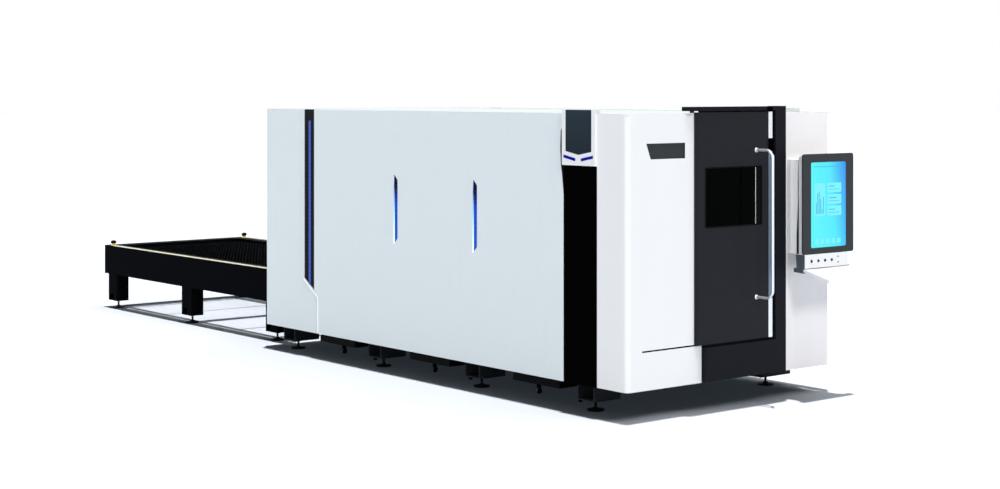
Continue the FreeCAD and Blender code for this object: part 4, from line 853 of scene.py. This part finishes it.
def make_cover_screws():
    """Button-head screws with an open socket, where the covers are screwed on."""
    screws = bmesh.new()
    up, over, along = 450, 400, 433  # from one screw to the next
    on_sides = [((x, 4156, z), (way, 0, 0)) for x, way in SIDES for z in (300, 500)]
    up_rear = [((x, LENGTH, 320 + up * step), BACKWARD)
               for x in (70, WIDTH - 70) for step in range(5)]
    over_portal = [((520 + over * step, LENGTH, 2200), BACKWARD) for step in range(4)]
    along_roof = [((x, 120 + along * step, TOP - 4), UP)
                  for step in range(12) for x in (80, WIDTH - 80)]
    for place, aim in on_sides + up_rear + over_portal + along_roof:
        spin(screws, SCREW_HEAD, place, aim, 14)
    settle("cover_screws", screws, "machine", "zinc_steel", zinc_plate)


def make_roof_trim():
    """Low seam caps between the roof pans, and the folded trim behind the front panels."""
    border, half = 36, 16  # round the pans, and of a seam cap's width
    edge, end, inner, outer = 4, 3, 38, 40  # how far in the trim's edges are
    trim = bmesh.new()
    for step in (1, 2):
        seam = border + step * (LENGTH - 2 * border) / 3
        block(trim, (inner, seam - half, TOP - 5), (WIDTH - inner, seam + half, TOP - 1.5), 1.0)
    in_front = [((edge, end), (766, outer)), ((1672, end), (WIDTH - edge, outer))]
    behind = [((edge, LENGTH - outer), (WIDTH - edge, LENGTH - end))]
    along = [((left, inner), (left + 24, LENGTH - inner)) for left in (18, WIDTH - 42)]
    for low, high in in_front + behind + along:
        block(trim, (*low, TOP - 9), (*high, TOP - 2), 1.0)
    settle("roof_trim", trim, "machine", "white_panel", side_shaded_powder)


# The door -----

DOOR_FACE = -30          # the front of the sliding door


def make_handle():
    """A round bar, bent into a foot at each end, on turned roses."""
    bar, rose = bmesh.new(), bmesh.new()
    x, reach, low, high, slant = 1345, -200, 820, 1965, 42
    bend, thick = 45, 11
    line = bent([(x, DOOR_FACE - 1, low), (x, reach + slant, low), (x, reach, low + slant),
                 (x, reach, high - slant), (x, reach + slant, high), (x, DOOR_FACE - 1, high)],
                bend)
    round_bar(bar, line, thick)
    settle("handle_bar", bar, "door", "bright_bar", handle_stainless, "door_handle")
    for z in (low, high):
        spin(rose, [(0, 0), (19, 0), (19, 2), (18, 3.5), (14, 4.5), (12, 8), (11.5, 12),
                    (0, 12)], (x, DOOR_FACE, z), FORWARD, 40)
    settle("handle_roses", rose, "door", "bright_bar", handle_stainless)


def make_window_trim():
    """A rubber seal round the window, and the bar that parts its tinted side pane."""
    left, right, low, high = 788, 1399, 1391, 1833
    lip, parting, wide = 10, 1332, 4  # the seal's width, then the bar's place and width
    seal, bar, pane = bmesh.new(), bmesh.new(), bmesh.new()
    outer = rounded(left - lip, right + lip, low - lip, high + lip, 10)
    inner = rounded(left, right, low, high, 6)
    plate(seal, band(outer, inner), DOOR_FACE + 2, DOOR_FACE - 2.5, facing_door)
    settle("window_seal", seal, "door", "black_plastic", foot_rubber)
    block(bar, (parting, DOOR_FACE - 3.2, low + 1), (parting + wide, DOOR_FACE + 1, high - 1),
          1.0)
    settle("window_bar", bar, "door", "bright_bar", bar_aluminium)
    block(pane, (parting + wide + 1, DOOR_FACE - 1.5, low + 1),
          (right - 1, DOOR_FACE + 0.5, high - 1), 0.8)
    settle("window_side_pane", pane, "door", "safety_glass", pane_acrylic)


def make_column_seal():
    """Two bulbs of rubber that the closing door meets, down the column's edge. Their black also
    stands in for the shade in the gap beside the column.
    """
    foot, head, bulb = 478, 2268, 5.5
    seal = bmesh.new()
    for x in (1531.5, 1541.5):
        line = [Vector((x, -14, z)) for z in (foot, 900, 1400, 1900, head)]
        round_bar(seal, line, bulb, 16)
    block(seal, (1525.5, -11, foot), (1547, -1, head), 1.0)
    settle("column_seal", seal, "machine", "black_plastic", foot_rubber)


def make_rail_block():
    """The ribbed stop at the end of the header rail."""
    left, right, low, high, front, margin = 1454, 1512, 2266, 2305.5, -50, 6
    stop = bmesh.new()
    block(stop, (left, front, low), (right, front + 7, high), 2.0)
    for step in range(3):
        z = low + 10 + 10.5 * step
        block(stop, (left + margin, front - 1, z - 2), (right - margin, front + 1, z + 2), 0.6)
    settle("rail_end_stop", stop, "machine", "black_panel", pillar_powder)


# The console -----

BUTTON_PLACES = [1779 + 80 * step for step in range(4)]
BUTTON_HEIGHT = 1084
KEYS_FACE = -212         # the front of the key box


def make_buttons():
    """Dished buttons in grey rings. Each button moves on its own."""
    dished = [(0, 0), (8.7, 0), (8.7, 20), (8.0, 21.6), (6.8, 22), (5.8, 21.4), (3, 20.8),
              (0, 20.6)]
    collar = [(9.5, 0), (12, 0), (12, 1.2), (11, 2), (9.5, 1.6)]
    rings = bmesh.new()
    for number, x in enumerate(BUTTON_PLACES, 1):
        cap = bmesh.new()
        spin(cap, dished, (x, KEYS_FACE + 15, BUTTON_HEIGHT), FORWARD, 32)
        settle(f"button_cap_{number}", cap, f"button_{number}", "black_plastic", button_abs,
               f"push_button_{number}")
        spin(rings, collar, (x, KEYS_FACE, BUTTON_HEIGHT), FORWARD, 32, loop=True)
    settle("button_rings", rings, "machine", "black_plastic", bezel_abs)


def make_ports():
    """Two data ports: a dark shell with a pale tongue inside."""
    left, right, half, wall, back = 2088.3, 2103.7, 4.2, 1.2, -190
    apart = 46
    shells, tongues = bmesh.new(), bmesh.new()
    for z in (BUTTON_HEIGHT - apart / 2, BUTTON_HEIGHT + apart / 2):
        low, high = z - half, z + half
        outer = rounded(left, right, low, high, 1.0, 2)
        inner = rounded(left + wall, right - wall, low + wall, high - wall, 0.5, 2)
        plate(shells, band(outer, inner), back, KEYS_FACE - 1, facing_door)
        block(shells, (left, back - 2, low), (right, back + 0.5, high))
        block(tongues, (left + 2.5, KEYS_FACE + 6, z - 0.2), (right - 2.5, back, z + 1.6), 0.3)
    settle("port_shells", shells, "machine", "black_plastic", button_abs, "data_ports")
    settle("port_tongues", tongues, "machine", "white_plastic", tongue_plastic)


def make_console_cheeks():
    """The grey end plates of the key box and of the tray's support."""
    key_box = [(KEYS_FACE, 1030), (KEYS_FACE, 1137), (-122, 1137), (-130, 1030)]
    support = [(-197, 992), (-197, 1030), (-100, 1030), (-100, 997)]
    cheeks = bmesh.new()
    for outline, start, end in ((key_box, 1696.5, 1700), (support, 1697, 1700.2),
                                (support, 2249.8, 2253)):
        plate(cheeks, [outline], start, end, facing_side)
    settle("console_cheeks", cheeks, "machine", "bezel_grey", support_abs)


def make_display_marks():
    """Generic panels of a control screen: a bar, a plot, a column of cards, a row of tabs."""
    face = (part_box("touch_screen")[0] - CORNER).y * 1000
    cards, bars, tabs = 92, 17, 66  # from one to the next
    pale, deep = bmesh.new(), bmesh.new()

    def tile(form, left, right, low, high, radius, lift=0.2, thick=0.4):
        plate(form, [rounded(left, right, low, high, radius)], face - lift,
              face - lift - thick, facing_door)

    def on_tile(left, right, low, high, radius):
        tile(deep, left, right, low, high, radius, lift=0.7, thick=0.3)

    tile(deep, 1820, 2176, 1822, 1827, 2)
    for step in range(3):
        card = 1618 - cards * step
        tile(pale, 1984, 2150, card, card + 76, 10)
        on_tile(2000, 2070 + 24 * (step % 2), card + 46, card + 53, 3)
        on_tile(2000, 2128, card + 22, card + 26, 1.5)
    tile(pale, 1830, 1956, 1434, 1694, 12)
    for step in range(6):
        tall = 30 + 150 * abs(math.sin(0.7 * step + 0.4))
        left = 1846 + bars * step
        on_tile(left, left + 8, 1452, 1452 + tall, 3)
    for step in range(5):
        tile(pale, 1836 + tabs * step, 1876 + tabs * step, 1212, 1252, 9)
    settle("display_pale_marks", pale, "machine", "screen_glass", pale_mark)
    settle("display_deep_marks", deep, "machine", "screen_glass", deep_mark)


# The head -----

HEAD = Vector((BED_CENTRE, 940.6, 700))  # the nozzle's tip


def make_head():
    """The head's stacked collars, its lens drawers, and the nozzle with its ceramic seat."""
    body, drawer, tip = bmesh.new(), bmesh.new(), bmesh.new()
    spin(body, [(0, 26), (17, 26), (20, 29), (20, 42), (17, 44), (17, 48), (24, 52), (40, 92),
                (46, 96), (46, 114), (55, 117), (55, 150), (52, 152), (52, 158), (55, 160),
                (55, 338), (52, 343), (33, 344), (33, 372), (30, 375), (30, 396), (26, 404),
                (0, 404)], HEAD, UP, 56)
    settle("head_body", body, "head", "head_grey", machined_aluminium, "cutting_head")
    for low in (172, 214):
        block(drawer, HEAD + Vector((-30, 30, low)), HEAD + Vector((30, 60, low + 22)), 3.0)
        spin(drawer, [(0, 0), (6, 0), (6, 8), (7.5, 9), (7.5, 14), (0, 15)],
             HEAD + Vector((0, 60, low + 11)), BACKWARD, 20)
    settle("lens_drawers", drawer, "head", "black_plastic", button_abs)
    spin(tip, [(0, 0), (1.2, 0), (4, 0.4), (9, 11), (11, 12.5), (11, 16), (12, 17), (12, 23),
               (10, 24), (10, 26), (0, 26)], HEAD, UP, 40)
    settle("nozzle_tip", tip, "head", "copper", turned_copper, "nozzle")


# The table -----

def either_side(x):
    """The same distance from the bed's middle, left and right."""
    return x, 2 * BED_CENTRE - x


def make_buffers():
    """Black rubber buffers on yellow feet, at the table's far corners."""
    domes, feet = bmesh.new(), bmesh.new()
    for x in either_side(238):
        foot = (x, TABLE_REAR - 145, 690)
        spin(feet, [(0, 0), (27, 0), (27, 4), (22, 8), (20, 26), (0, 26)], foot, UP, 36)
        spin(domes, [(0, 25), (21, 25), (30, 29), (30, 44), (27, 52), (20, 57), (10, 59.5),
                     (0, 60)], foot, UP, 40)
    settle("buffer_domes", domes, "machine", "black_plastic", foot_rubber, "bumpers")
    settle("buffer_feet", feet, "machine", "cream_strip", buffer_yellow)


def make_cylinders():
    """The lift's barrels, with a gland at the top and a foot block below."""
    barrels = bmesh.new()
    for x in either_side(302):
        for y in (5395.5, 5395.5 + LEG_PITCH):
            spin(barrels, [(0, 0), (24, 0), (24, 16), (22.5, 18), (21, 20), (21, 182),
                           (22.5, 184), (24, 186), (24, 202), (22.5, 205), (14, 205), (14, 10),
                           (0, 10)], (x, y, 160), UP, 36)
    settle("lift_barrels", barrels, "machine", "ground_steel", chromed_rod, "lift_cylinders")


def make_slats(label):
    """Slats cut from 4 mm sheet, their teeth burnt to uneven heights, standing in a row."""
    form = bmesh.new()
    low, high = (Vector(c) * 1000 - CORNER * 1000 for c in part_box(f"pallet_slats_{label}"))
    chance = random.Random(11)
    rows, teeth, gauge, deep, blunt = 49, 36, 4.0, 27, 2.5
    pitch = (high.y - low.y - gauge) / (rows - 1)
    width = (high.x - low.x) / teeth
    root = high.z - deep
    for row in range(rows):
        y = low.y + pitch * row
        faces = []
        for tooth in range(teeth):
            left, right = low.x + width * tooth, low.x + width * (tooth + 1)
            burnt = chance.choice((0, 0, 0, 0, 1, 2, 4)) * chance.random()
            tip, lean = high.z - burnt, chance.uniform(-2, 2)
            middle = (left + right) / 2 + lean
            faces.append([(left, low.z), (right, low.z), (right, root),
                          (middle + blunt + burnt, tip), (middle - blunt - burnt, tip),
                          (left, root)])
        plate(form, faces, y, y + gauge, facing_door)
    settle(f"toothed_slats_{label}", form, f"pallet_{label}", "slat_steel", sooty_steel,
           f"pallet_slats_{label}")


def make_rollers():
    """Bearings on the pallets' rollers: a crowned tread with a stepped hub."""
    tread = [(0, -1), (7, -1), (7, 1), (16, 1), (17, -0.5), (23, -0.5), (24.7, 2), (24.9, 10),
             (24.7, 18), (23, 20.4), (0, 20.4)]
    wheel, first, pitch = 25, 120, 960  # the wheel's radius, then places along
    left, right = either_side(382)
    for label, front in (("upper", 5405), ("lower", 1205)):
        form = bmesh.new()
        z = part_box(f"pallet_frame_{label}")[0].z * 1000 + wheel
        for step in range(4):
            y = front + first + pitch * step
            for x, way in ((left, 1), (right, -1)):
                spin(form, tread, (x, y, z), (way, 0, 0), 32)
        settle(f"pallet_rollers_{label}", form, f"pallet_{label}", "ground_steel",
               ground_bearing_steel)


def make_casters():
    """Nylon wheels on the slag carts' forks."""
    wheel, wide = 25, 22
    tread = [(0, 0.4), (10, 0.4), (11, 2), (19, 2), (20, 0.4), (23.5, 0.4), (24.9, 3),
             (24.9, 19.5), (23.5, 21.6), (20, 21.6), (19, 20), (11, 20), (10, 21.6), (0, 21.6)]
    for number, name in enumerate(("front", "middle", "rear")):
        form = bmesh.new()
        start = 805 + TUBE_PITCH * number
        for x in (280, 1200):
            for y in (start + 32, start + 528):
                spin(form, tread, (x, y - wide / 2, wheel), BACKWARD, 28)
        settle(f"cart_wheels_{name}", form, f"cart_{name}", "cart_grey", support_abs)


# Floor, light and camera -----

def make_floor():
    """The ground, which keeps the machine's shadow."""
    half = 150  # metres, to reach the horizon
    mesh = bpy.data.meshes.new("floor")
    mesh.from_pydata([(-half, -half, 0), (half, -half, 0), (half, half, 0), (-half, half, 0)],
                     [], [(0, 1, 2, 3)])
    floor = bpy.data.objects.new("floor", mesh)
    bpy.context.scene.collection.objects.link(floor)
    mesh.materials.append(paint_of(sealed_concrete))
    return floor


def sun(name, direction, strength, spread):
    lamp = bpy.data.lights.new(name, "SUN")
    lamp.energy = strength
    lamp.angle = math.radians(spread)
    lit = bpy.data.objects.new(name, lamp)
    lit.rotation_euler = Vector(direction).to_track_quat("-Z", "Y").to_euler()
    bpy.context.scene.collection.objects.link(lit)
    return lit


def keep_light(lamp, piece, state):
    """Gives a lamp's light to one piece alone, or to all but that piece."""
    chosen = bpy.data.collections.new(lamp.name + " receivers")
    chosen.objects.link(piece)
    lamp.light_linking.receiver_collection = chosen
    chosen.collection_objects[0].light_linking.link_state = state


TRAY = ("keyboard_tray", "tray_support", "console_cheeks")


def let_through(lamp, names):
    """Lets a lamp's light past these pieces, so that they cast no hard shadow."""
    passed = bpy.data.collections.new(lamp.name + " blockers")
    for name in names:
        passed.objects.link(bpy.data.objects[name] if name in bpy.data.objects else nodes[name])
    lamp.light_linking.blocker_collection = passed
    for entry in passed.collection_objects:
        entry.light_linking.link_state = "EXCLUDE"


def make_lights(floor):
    """Soft light on the object from every side, and two lamps for the floor's shadow.

    The camera and mirrors see a white studio, which lights everything else only a little.
    """
    world = bpy.data.worlds.new("studio")
    bpy.context.scene.world = world
    world.use_nodes = True
    tree = world.node_tree
    tree.nodes.clear()
    path = add(tree, "LightPath")
    mirrored = add(tree, "Math", {0: path.outputs["Is Glossy Ray"],
                                  1: path.outputs["Is Transmission Ray"]}, operation="ADD")
    seen = add(tree, "Math", {0: path.outputs["Is Camera Ray"], 1: mirrored},
               operation="ADD", use_clamp=True)
    strength = add(tree, "MapRange", {"Value": seen, "To Min": 0.14, "To Max": 1.0})
    back = add(tree, "Background", {"Color": (1.0, 1.0, 1.0, 1.0), "Strength": strength})
    add(tree, "OutputWorld", {"Surface": back})
    floor_lamp = sun("floor lamp", (-0.048, -0.045, -1), 12.5, 1.2)
    keep_light(floor_lamp, floor, "INCLUDE")
    let_through(floor_lamp, TRAY)
    keep_light(sun("floor fill lamp", (-0.6, 0.3, -1.2), 4.2, 50), floor, "INCLUDE")
    for name, direction, strength, spread in (
            ("top lamp", (0.1, 0.2, -1), 2.3, 25), ("front lamp", (0.2, 1, -0.6), 1.2, 14),
            ("left lamp", (1, 0.12, -0.1), 0.55, 14), ("back lamp", (-0.2, -1, -0.2), 0.9, 14),
            ("right lamp", (-1, -0.2, -0.1), 0.7, 14)):
        keep_light(sun(name, direction, strength, spread), floor, "EXCLUDE")


def make_camera():
    """Level, a little higher than the roof, out past the front left corner."""
    lens = bpy.data.cameras.new("camera")
    lens.lens = 63.93
    lens.sensor_width = 36
    lens.shift_y = -0.1542
    lens.clip_end = 400
    camera = bpy.data.objects.new("camera", lens)
    camera.location = at(-8900, -9528, 2429)
    camera.rotation_euler = (math.radians(90), 0, math.radians(-38.95))
    bpy.context.scene.collection.objects.link(camera)
    bpy.context.scene.camera = camera
    bpy.context.scene.view_settings.view_transform = "Standard"


# Making -----

dress_nodes()
make_feet()
make_side_joints()
make_pillar_shadows_and_slot_edges()
make_cover_screws()
make_roof_trim()
make_handle()
make_window_trim()
make_column_seal()
make_rail_block()
make_buttons()
make_ports()
make_console_cheeks()
make_display_marks()
make_head()
make_buffers()
make_cylinders()
make_slats("upper")
make_slats("lower")
make_rollers()
make_casters()
make_lights(make_floor())
make_camera()
